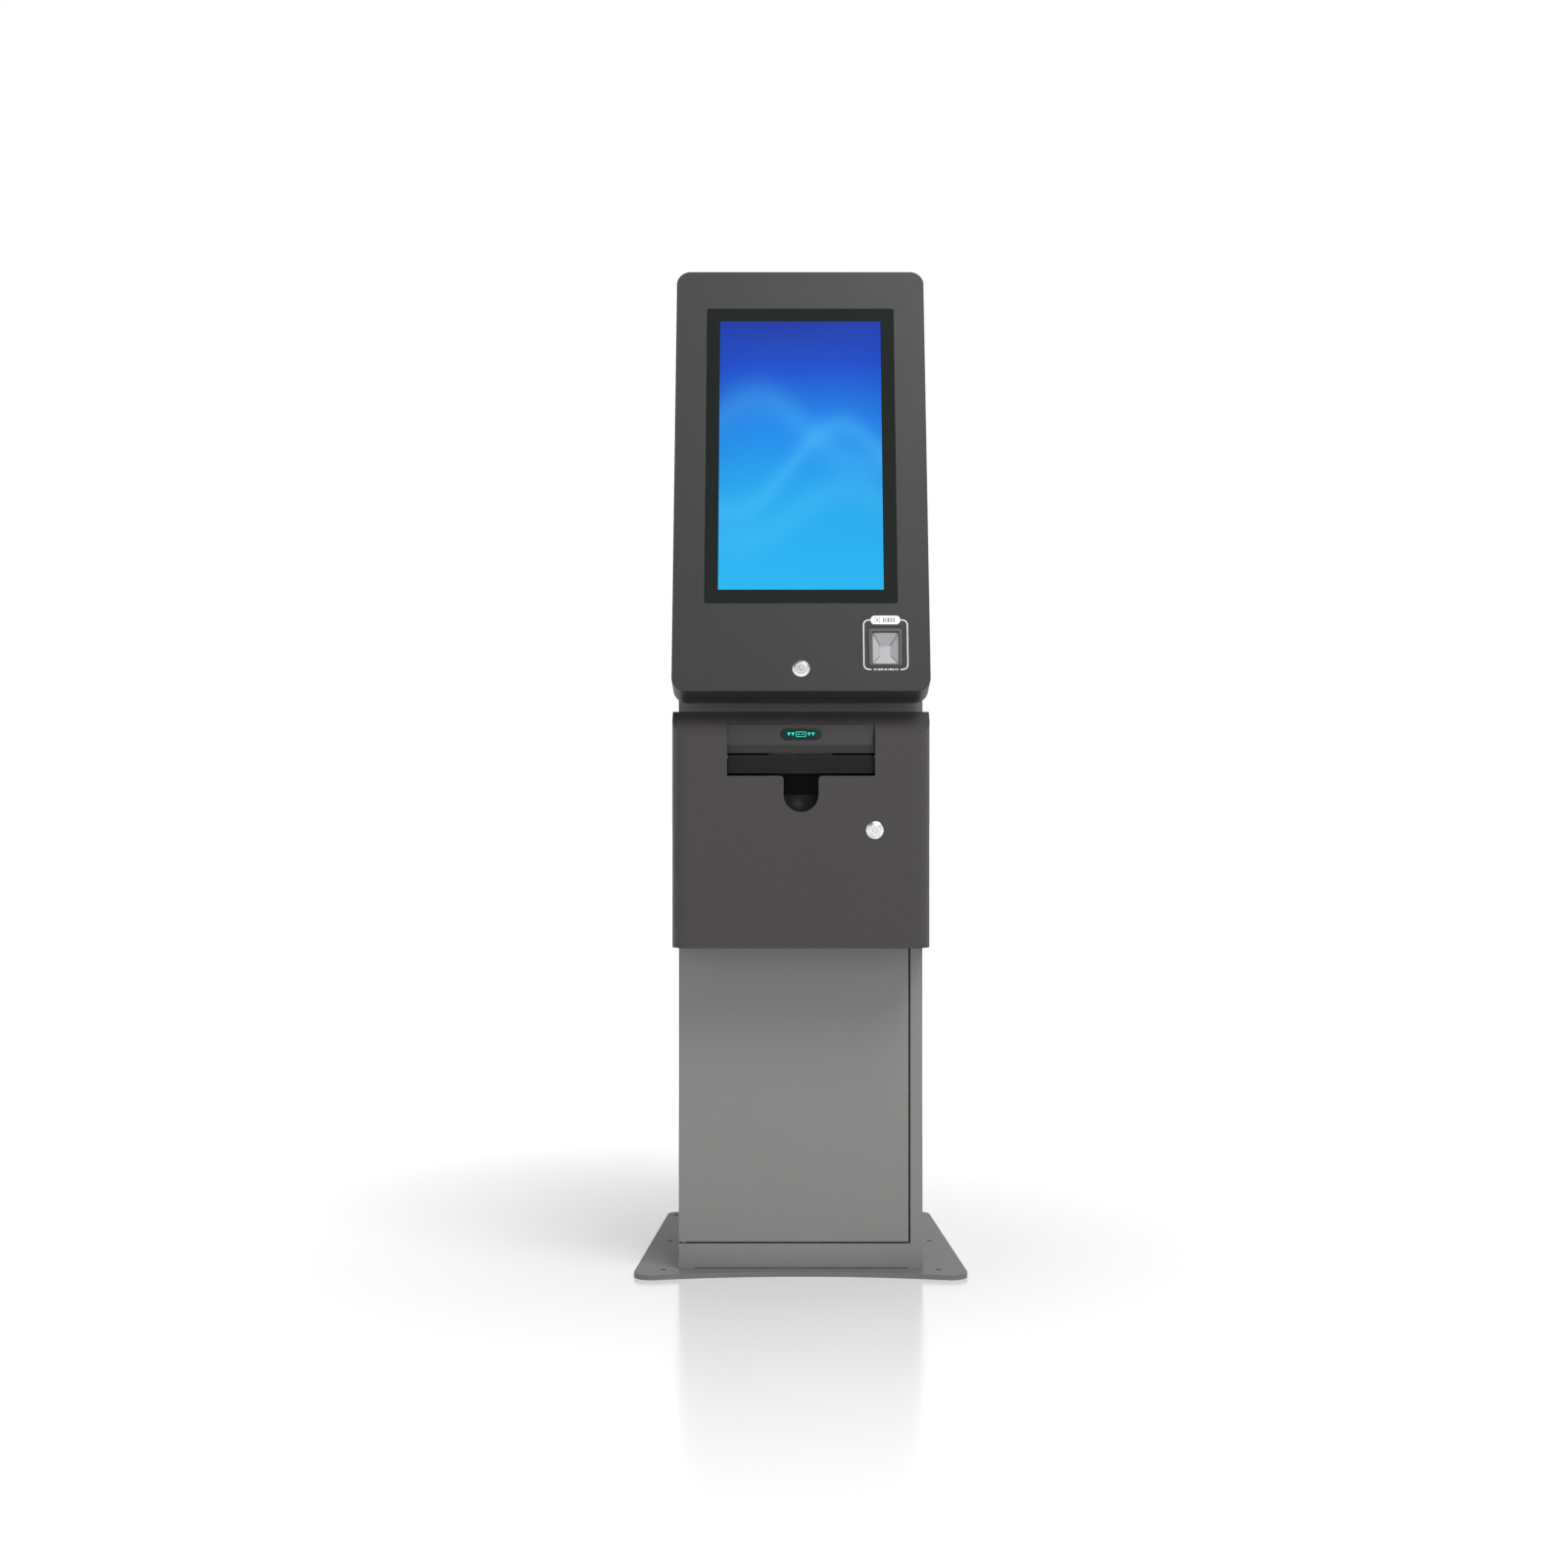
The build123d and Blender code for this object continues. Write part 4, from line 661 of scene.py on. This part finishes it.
def stroke(points: Outline, width: float) -> Outline:
    """Closed outline of an open line drawn with the given width."""
    left: Outline = []
    right: Outline = []
    for index, (x, y) in enumerate(points):
        before = points[max(index - 1, 0)]
        after = points[min(index + 1, len(points) - 1)]
        run = Vector((after[0] - before[0], after[1] - before[1])).normalized()
        left.append((x - run.y * width / 2, y + run.x * width / 2))
        right.append((x + run.y * width / 2, y - run.x * width / 2))
    return left + right[::-1]


def ring(width: float, height: float, radius: float, line: float) -> list[Outline]:
    """Four-sided outlines that together draw a closed rounded rectangle, for plates()."""
    outer = rounded_rectangle(width, height, radius)
    inner = rounded_rectangle(width - 2 * line, height - 2 * line, radius - line)
    return [
        [outer[i - 1], outer[i], inner[i], inner[i - 1]]
        for i in range(len(outer))
    ]


def plates(name: str, outlines: Iterable[Outline], thickness: float, place: Matrix,
           material: bpy.types.Material, edge: float = 0.0) -> bpy.types.Object:
    """Thin plates with the given outlines, as one object.

    Args:
        name: Object name.
        outlines: Closed outlines, in the placement's X and Y.
        thickness: Thickness along the placement's Z.
        place: Placement of the plates in the row frame.
        material: Finish.
        edge: Width of a rounded edge, or 0 for none.

    Returns:
        The new object, its mesh in the row frame.
    """
    mesh = bpy.data.meshes.new(name)
    shape = bmesh.new()
    for outline in outlines:
        face = shape.faces.new([shape.verts.new((x, y, 0.0)) for x, y in outline])
        if face.normal.z < 0:
            face.normal_flip()
        grown = bmesh.ops.extrude_face_region(shape, geom=[face])["geom"]
        risen = [item for item in grown if isinstance(item, bmesh.types.BMVert)]
        bmesh.ops.translate(shape, verts=risen, vec=(0.0, 0.0, thickness))
    bmesh.ops.transform(shape, matrix=place, verts=shape.verts)
    bmesh.ops.recalc_face_normals(shape, faces=shape.faces)
    shape.to_mesh(mesh)
    shape.free()
    made = bpy.data.objects.new(name, mesh)
    bpy.context.scene.collection.objects.link(made)
    mesh.materials.append(material)
    if edge > 0:
        rounding = made.modifiers.new("edges", "BEVEL")
        rounding.width = edge
        rounding.segments = 3
        rounding.limit_method = "ANGLE"
    return made


def rods(name: str, spans: Iterable[tuple[Vector, Vector]], radius: float,
         material: bpy.types.Material) -> bpy.types.Object:
    """Thin round rods between pairs of points, as one object in the row frame."""
    mesh = bpy.data.meshes.new(name)
    shape = bmesh.new()
    for start, end in spans:
        run = end - start
        turn = run.to_track_quat("Z", "Y").to_matrix().to_4x4()
        bmesh.ops.create_cone(
            shape, cap_ends=True, segments=12, radius1=radius, radius2=radius, depth=run.length,
            matrix=Matrix.Translation((start + end) / 2) @ turn,
        )
    shape.to_mesh(mesh)
    shape.free()
    mesh.materials.append(material)
    made = bpy.data.objects.new(name, mesh)
    bpy.context.scene.collection.objects.link(made)
    return made


def settle(piece: bpy.types.Object, body: str) -> bpy.types.Object:
    """Let a new piece ride on its body, and log it."""
    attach(piece, body)
    LOG.info("built %s on %s", piece.name, body)
    return piece


def islands(node: str) -> list[tuple[Vector, Vector]]:
    """Boxes of a CAD node's separate solids, lowest corner first in each."""
    mesh = bpy.data.objects[node].data
    shape = bmesh.new()
    shape.from_mesh(mesh)
    bmesh.ops.remove_doubles(shape, verts=shape.verts, dist=1e-6)
    left = set(shape.verts)
    found = []
    while left:
        front = [left.pop()]
        members = list(front)
        while front:
            for edge in front.pop().link_edges:
                for vert in edge.verts:
                    if vert in left:
                        left.remove(vert)
                        front.append(vert)
                        members.append(vert)
        spans = [(min(v.co[i] for v in members), max(v.co[i] for v in members)) for i in range(3)]
        found.append((Vector([s[0] for s in spans]), Vector([s[1] for s in spans])))
    shape.free()
    return found


# ---------------------------------------------------------------------------
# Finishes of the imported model's slots
# ---------------------------------------------------------------------------
class Finishes:
    """Every finish of the kiosk, built once and shared."""

    def __init__(self) -> None:
        """Build the finishes that the record's slots name."""
        self.by_slot: dict[str, bpy.types.Material] = {
            "charcoal_powder": PowderCoat("charcoal_powder_coat", "3e3b3c").build(),
            "grey_powder": PowderCoat("grey_powder_coat", "7f807e", mottling=0.02).build(),
            "plate_paint": PowderCoat("plate_powder_coat", "6e6e6e", 0.46, 1.4).build(),
            "zinc_steel": SheetSteel("zinc_plated_steel", "b9bbbf", 0.28, 1.5).build(),
            "galvanised_sheet": SheetSteel("galvanised_sheet", "a9adb0", 0.38, 9.0).build(),
            "lock_chrome": TurnedChrome("lock_chrome").build(),
            "screen_glass": TouchGlass().build(),
            "gasket_rubber": Rubber("gasket_rubber").build(),
            "black_plastic": MouldedPlastic("black_moulding", "1b1b1d").build(),
            "charcoal_plastic": MouldedPlastic("charcoal_moulding", "464746", 0.45).build(),
            "equipment_case": PowderCoat("equipment_case", "35373c", 0.5, 0.9).build(),
            "grey_plastic": MouldedPlastic("grey_moulding", "9c9da0", 0.36, 0.4, 0.1).build(),
            "sign_lens": LitLens("sign_lens", "0b1413", "0d4a47", 0.25).build(),
            "roller_rubber": Rubber("roller_rubber", "232326").build(),
            "ticket_paper": WoundPaper().build(),
            "equipment_paint": PowderCoat("equipment_paint", "33353a", 0.5, 0.9).build(),
            "cast_aluminium": SheetSteel("cast_aluminium", "c4c5c7", 0.42, 1.2).build(),
        }
        # Painted shade: the head front, outlet fascia, flap and tray get darker copies of their finishes,
        # in colour and in weaker specular, standing in for how the light falls on them.
        self.head = PowderCoat("head_shaded_powder_coat", "2f2d2e").build()
        self.fascia = PowderCoat("fascia_shaded_powder_coat", "2d2b2c").build()
        self.flap = MouldedPlastic("flap_shaded_moulding", "1c1b1c", 0.5, 0.4, 0.15, 0.12).build()
        self.tray = MouldedPlastic("tray_shaded_moulding", "1b1a1b", 0.5, 0.5, 0.25, 0.12).build()
        self.ink = PrintedInk("white_ink", "eef0f0").build()
        # Dark ink for the pill's signs; the same finish paints the shade in the screws' cross drives.
        self.dark_ink_and_shade = PrintedInk("dark_ink_and_shade", "2c2c2e").build()
        # Painted shade: dark plastic laid in the scanner reflector's folds and in the slit round the
        # scanner's bezel.
        self.painted_crease_shade = MouldedPlastic("crease_shadow", "303133").build()
        self.reflector = MouldedPlastic("satin_reflector", "adaeb0", 0.30, 0.4, 0.08).build()
        self.glyph = LitLens("sign_glyph", "0e3f3b", "35e0c8", 1.0).build()
        self.green_led = LitLens("green_led", "0c3a12", "35ff5a", 1.6).build()
        self.floor = StudioFloor().build()

    def dress(self, record: dict) -> None:
        """Give each CAD node the finish of its slot, or its own finish; the head front, outlet fascia, flap
        and tray get darker copies that paint shade.
        """
        # Painted shade: the head front, fascia, flap and tray take darker copies of their slots' finishes;
        # the reflector's finish is its own colour.
        own = {
            "head_door_shell": self.head,
            "outlet_fascia": self.fascia,
            "outlet_flap": self.flap,
            "ticket_tray": self.tray,
            "scanner_reflector": self.reflector,
        }
        for subpart in record["subparts"]:
            node = subpart["node"]
            material = own.get(node, self.by_slot[subpart["material_slot"]])
            mesh = bpy.data.objects[node].data
            if not mesh.materials:
                mesh.materials.append(material)
            for index in range(len(mesh.materials)):
                bpy.data.objects[node].material_slots[index].material = material
            LOG.info("dressed %s with %s", node, material.name)


# ---------------------------------------------------------------------------
# Sub-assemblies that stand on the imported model
# ---------------------------------------------------------------------------
@dataclass
class ScannerMarks:
    """Printed surround of the code scanner, with generic signs in place of words, and a dark ring of
    painted shade in the slit round its bezel.
    """

    finishes: Finishes
    film: float = 0.12 * MM
    line: float = 1.5 * MM
    half_width: float = 35.2 * MM
    below: float = 37.6 * MM
    above: float = 46.0 * MM
    corner: float = 8.0 * MM
    gap: float = 47.0 * MM
    pill_width: float = 47.0 * MM
    pill_height: float = 14.5 * MM
    # Painted shade: a dark ring sunk in the slit round the scanner's bezel, where there is only shade.
    joint: tuple[float, float, float] = (54.6 * MM, 64.6 * MM, 3.6 * MM)
    slit_shade_line: float = 1.5 * MM
    slit_shade_lift: float = 1.5 * MM
    slit_shade_depth: float = 0.95 * MM
    tick_pitch: float = 3.6 * MM
    tick_height: float = 2.8 * MM
    # Widths and gap of the bars, in millimetres.
    tick_widths: tuple[float, ...] = (1.8, 1.0, 1.8, 2.4, 1.0, 1.8, 1.0, 2.4, 1.8, 1.0, 1.8)
    code_widths: tuple[float, ...] = (1.4, 0.7, 1.0, 0.7, 1.8, 0.7, 1.2, 0.7, 1.6)
    code_gap: float = 1.1

    def build(self) -> None:
        """Print the outline, the pill with its signs and the small marks below, and sink the ring of
        painted shade into the slit.
        """
        face = Facet.of("head_door_shell")
        offset = Facet.of("scanner_reflector").centre - face.centre
        across, along = offset.dot(face.right), offset.dot(face.up)
        low, high = -self.below, self.above
        place = face.matrix(across, along)
        x, r = self.half_width - self.corner, self.corner
        path = [(-self.gap / 2, low)]
        path += arc(-x, low + r, r, 270, 180)
        path += arc(-x, high - r, r, 180, 90)
        path += arc(x, high - r, r, 90, 0)
        path += arc(x, low + r, r, 0, -90)
        path += [(self.gap / 2, low)]
        frame_line = [stroke(path, self.line)]
        settle(plates("scanner_outline", frame_line, self.film, place, self.finishes.ink),
               "head_door")
        pill_place = face.matrix(across, along + high)
        pill = [rounded_rectangle(self.pill_width, self.pill_height, self.pill_height * 0.42)]
        settle(plates("scanner_pill", pill, 2 * self.film, pill_place, self.finishes.ink),
               "head_door")
        settle(plates("scanner_pill_signs", self.signs(), 3 * self.film, pill_place,
                      self.finishes.dark_ink_and_shade), "head_door")
        # Painted shade in the slit round the bezel.
        slit_shade_place = face.matrix(across, along + self.slit_shade_lift, -self.slit_shade_depth)
        settle(plates("scanner_joint", ring(*self.joint, self.slit_shade_line), self.film, slit_shade_place,
                      self.finishes.painted_crease_shade), "head_door")
        first = -(len(self.tick_widths) // 2)
        ticks = [
            self.bar(index * self.tick_pitch, 0.0, width * MM, self.tick_height)
            for index, width in enumerate(self.tick_widths, first)
        ]
        settle(plates("scanner_ticks", ticks, self.film, face.matrix(across, along + low),
                      self.finishes.ink), "head_door")

    @staticmethod
    def bar(x: float, y: float, width: float, height: float) -> Outline:
        """Outline of an upright bar about a point."""
        return [(x - width / 2, y - height / 2), (x + width / 2, y - height / 2),
                (x + width / 2, y + height / 2), (x - width / 2, y + height / 2)]

    def signs(self) -> list[Outline]:
        """Corner marks round a small block, and a row of code bars."""
        left = -13.0 * MM
        size = 7.6 * MM
        shapes: list[Outline] = []
        for sx in (-1, 1):
            for sy in (-1, 1):
                corner_x, corner_y = left + sx * size / 2, sy * size / 2
                shapes.append(self.bar(corner_x - sx * 1.0 * MM, corner_y, 2.9 * MM, 0.9 * MM))
                shapes.append(self.bar(corner_x, corner_y - sy * 1.7 * MM, 0.9 * MM, 1.7 * MM))
        shapes.append(self.bar(left, 0.0, 3.0 * MM, 3.0 * MM))
        x = -4.0 * MM
        for width in self.code_widths:
            shapes.append(self.bar(x + width * MM / 2, 0.0, width * MM, size))
            x += (width + self.code_gap) * MM
        return shapes


@dataclass
class SignGlyphs:
    """Lit signs on the outlet's lens: a ticket between arrowheads that point down."""

    finishes: Finishes
    film: float = 0.15 * MM
    line: float = 1.1 * MM

    def build(self) -> None:
        """Raise the signs just off the lens."""
        lens = Facet.of("sign_lens")
        shapes = ring(16.5 * MM, 9.0 * MM, 1.6 * MM, self.line)
        for x in (-3.2, 3.2):
            shapes.append(ScannerMarks.bar(x * MM, 0.0, 3.6 * MM, 1.4 * MM))
        for x in (-19.5, -13.0, 13.0, 19.5):
            shapes.append([((x + 2.7) * MM, 3.0 * MM), ((x - 2.7) * MM, 3.0 * MM), (x * MM, -3.0 * MM)])
        settle(plates("sign_signs", shapes, self.film, lens.matrix(), self.finishes.glyph),
               "cover")


@dataclass
class ReflectorCreaseShade:
    """Painted shade: dark lines along the folds where the scanner reflector's four slopes meet."""

    finishes: Finishes
    radius: float = 0.45 * MM

    def build(self) -> None:
        """Lay a thin dark line of painted shade along each fold of the reflector."""
        settle(rods("reflector_creases", self.folds(), self.radius, self.finishes.painted_crease_shade),
               "head_door")

    @staticmethod
    def folds() -> list[tuple[Vector, Vector]]:
        """Ends of the edges between two slopes that face different ways."""
        out = Facet.of("scanner_bezel").normal
        shape = bmesh.new()
        shape.from_mesh(bpy.data.objects["scanner_reflector"].data)
        bmesh.ops.remove_doubles(shape, verts=shape.verts, dist=1e-6)
        shape.normal_update()
        found = []
        for edge in shape.edges:
            normals = [face.normal for face in edge.link_faces]
            if len(normals) != 2 or normals[0].dot(normals[1]) > 0.95:
                continue
            if all(0.3 < normal.dot(out) < 0.97 for normal in normals):
                found.append(tuple(vert.co.copy() for vert in edge.verts))
        shape.free()
        return found


@dataclass
class ScrewDriveShade:
    """Painted shade in the cross drives of the screws on the column's back: dark crosses laid on the heads.
    """

    finishes: Finishes
    arm: float = 5.2 * MM
    blade: float = 1.1 * MM

    def build(self) -> None:
        """Paint the shade of the cross drive on every screw head that looks backwards."""
        heads = [box for box in islands("frame_screws") if box[1].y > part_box("rear_panel")[1][1]]
        shapes: list[Outline] = []
        for low, high in heads:
            x, z = -(low.x + high.x) / 2, (low.z + high.z) / 2
            shapes.append(ScannerMarks.bar(x, z, self.arm, self.blade))
            shapes.append(ScannerMarks.bar(x, z, self.blade, self.arm))
        back = max(high.y for _, high in heads)
        turn = Matrix(((-1.0, 0.0, 0.0), (0.0, 0.0, 1.0), (0.0, 1.0, 0.0))).transposed().to_4x4()
        place = Matrix.Translation((0.0, back, 0.0)) @ turn
        # Painted shade: flat dark crosses stand in for the hollows of the drives.
        settle(plates("screw_drives", shapes, 0.08 * MM, place, self.finishes.dark_ink_and_shade),
               "kiosk")


@dataclass
class ComputerFront:
    """Sockets, a power button and lamps on the computer's front."""

    finishes: Finishes
    # Each socket's place across the front, its width and its height, in millimetres.
    sockets: tuple[tuple[int, int, int], ...] = (
        (-96, 22, 12), (-62, 16, 14), (-38, 16, 14), (-12, 8, 15),
        (2, 8, 15), (16, 8, 15), (44, 26, 11), (80, 26, 11),
    )
    shell_wall_mm: float = 1.5

    def build(self) -> None:
        """Set the fittings on the computer's front face."""
        front = Facet.of("computer_unit")
        low = -front.height * 0.1
        shells = [self.opening(x, low, w, h, 1.2, 4) for x, w, h in self.sockets]
        settle(plates("computer_sockets", shells, 1.2 * MM, front.matrix(),
                      self.finishes.by_slot["zinc_steel"], 0.25 * MM), "kiosk")
        # Black plastic in each socket's opening: partly the socket's own plastic insert, partly painted
        # shade standing in for its hollow.
        walls = 2 * self.shell_wall_mm
        mouths_and_shade = [self.opening(x, low, w - walls, h - walls, 0.6, 8) for x, w, h in self.sockets]
        settle(plates("computer_mouths", mouths_and_shade, 1.35 * MM, front.matrix(),
                      self.finishes.by_slot["black_plastic"]), "kiosk")
        button = [arc(112 * MM, low, 6 * MM, 0, 345, 23)]
        settle(plates("computer_button", button, 2.0 * MM, front.matrix(),
                      self.finishes.by_slot["lock_chrome"], 0.4 * MM), "kiosk")
        lamps = [arc((104 + 8 * i) * MM, low + 15 * MM, 1.4 * MM, 0, 330, 11) for i in range(3)]
        settle(plates("computer_lamps", lamps, 0.8 * MM, front.matrix(),
                      self.finishes.green_led, 0.2 * MM), "kiosk")

    @staticmethod
    def opening(x_mm: float, y: float, width_mm: float, height_mm: float, radius_mm: float,
                steps: int) -> Outline:
        """Rounded outline of one socket.

        Args:
            x_mm: Place across the front, in millimetres.
            y: Place up the front, in metres.
            width_mm: Width, in millimetres.
            height_mm: Height, in millimetres.
            radius_mm: Corner radius, in millimetres.
            steps: Points in each corner.

        Returns:
            The closed outline, in metres.
        """
        shape = rounded_rectangle(width_mm * MM, height_mm * MM, radius_mm * MM, steps)
        return [(x + x_mm * MM, up + y) for x, up in shape]


# ---------------------------------------------------------------------------
# Studio
# ---------------------------------------------------------------------------
@dataclass
class Studio:
    """Floor, light and camera round the kiosk."""

    finishes: Finishes
    camera_at: tuple[float, float, float] = (-0.0273, -3.781, 0.803)
    lens: float = 50.0
    floor_half: float = 40.0
    wall_top: float = 24.0
    ceiling_edge: float = 42.0
    ceiling: float = 0.12

    def build(self) -> None:
        """Set the whole studio."""
        self.add_camera()
        self.add_floor()
        self.add_sky()
        self.add_lamp("top", (1.4, -2.45, 4.65), (0.0, -0.25, 0.7), 2.2, 185.0)
        settings = bpy.context.scene.view_settings
        settings.view_transform = "Standard"
        settings.look = "None"

    def add_camera(self) -> None:
        """Level camera in front of the kiosk."""
        data = bpy.data.cameras.new("camera")
        data.lens = self.lens
        data.sensor_width = 36.0
        camera = bpy.data.objects.new("camera", data)
        camera.location = self.camera_at
        camera.rotation_euler = (math.radians(90.0), 0.0, 0.0)
        bpy.context.scene.collection.objects.link(camera)
        bpy.context.scene.camera = camera

    def add_floor(self) -> None:
        """Wide pale floor under the base plate."""
        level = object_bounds()[0][2]
        half = self.floor_half
        mesh = bpy.data.meshes.new("floor")
        mesh.from_pydata(
            [(-half, -half, level), (half, -half, level), (half, half, level), (-half, half, level)],
            [], [(0, 1, 2, 3)],
        )
        mesh.materials.append(self.finishes.floor)
        floor = bpy.data.objects.new("floor", mesh)
        bpy.context.scene.collection.objects.link(floor)
        floor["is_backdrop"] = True

    def add_sky(self) -> None:
        """White walls all round, under a dark ceiling."""
        world = bpy.data.worlds.new("studio")
        world.use_nodes = True
        tree = world.node_tree
        background = tree.nodes["Background"]
        background.inputs["Color"].default_value = (1.0, 1.0, 1.0, 1.0)
        place = tree.nodes.new("ShaderNodeTexCoord")
        split = tree.nodes.new("ShaderNodeSeparateXYZ")
        fade = tree.nodes.new("ShaderNodeMapRange")
        fade.interpolation_type = "SMOOTHSTEP"
        fade.inputs["From Min"].default_value = math.sin(math.radians(self.wall_top))
        fade.inputs["From Max"].default_value = math.sin(math.radians(self.ceiling_edge))
        fade.inputs["To Min"].default_value = 1.0
        fade.inputs["To Max"].default_value = self.ceiling
        tree.links.new(place.outputs["Generated"], split.inputs[0])
        tree.links.new(split.outputs["Z"], fade.inputs["Value"])
        tree.links.new(fade.outputs[0], background.inputs["Strength"])
        bpy.context.scene.world = world

    @staticmethod
    def add_lamp(name: str, at: Sequence[float], to: Sequence[float], size: float,
                 power: float) -> None:
        """Square soft lamp aimed at a point."""
        data = bpy.data.lights.new(name, "AREA")
        data.size = size
        data.energy = power
        lamp = bpy.data.objects.new(name, data)
        lamp.location = at
        aim = Vector(to) - Vector(at)
        lamp.rotation_euler = aim.to_track_quat("-Z", "Y").to_euler()
        bpy.context.scene.collection.objects.link(lamp)


def main() -> None:
    """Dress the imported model, add its small pieces and set the studio."""
    logging.basicConfig(level=logging.INFO, format="%(message)s")
    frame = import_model()
    finishes = Finishes()
    finishes.dress(frame["record"])
    builders: list[Callable[[], None]] = [
        ScannerMarks(finishes).build,
        ReflectorCreaseShade(finishes).build,
        SignGlyphs(finishes).build,
        ScrewDriveShade(finishes).build,
        ComputerFront(finishes).build,
        Studio(finishes).build,
    ]
    for build in builders:
        build()


if __name__ == "__main__":
    main()
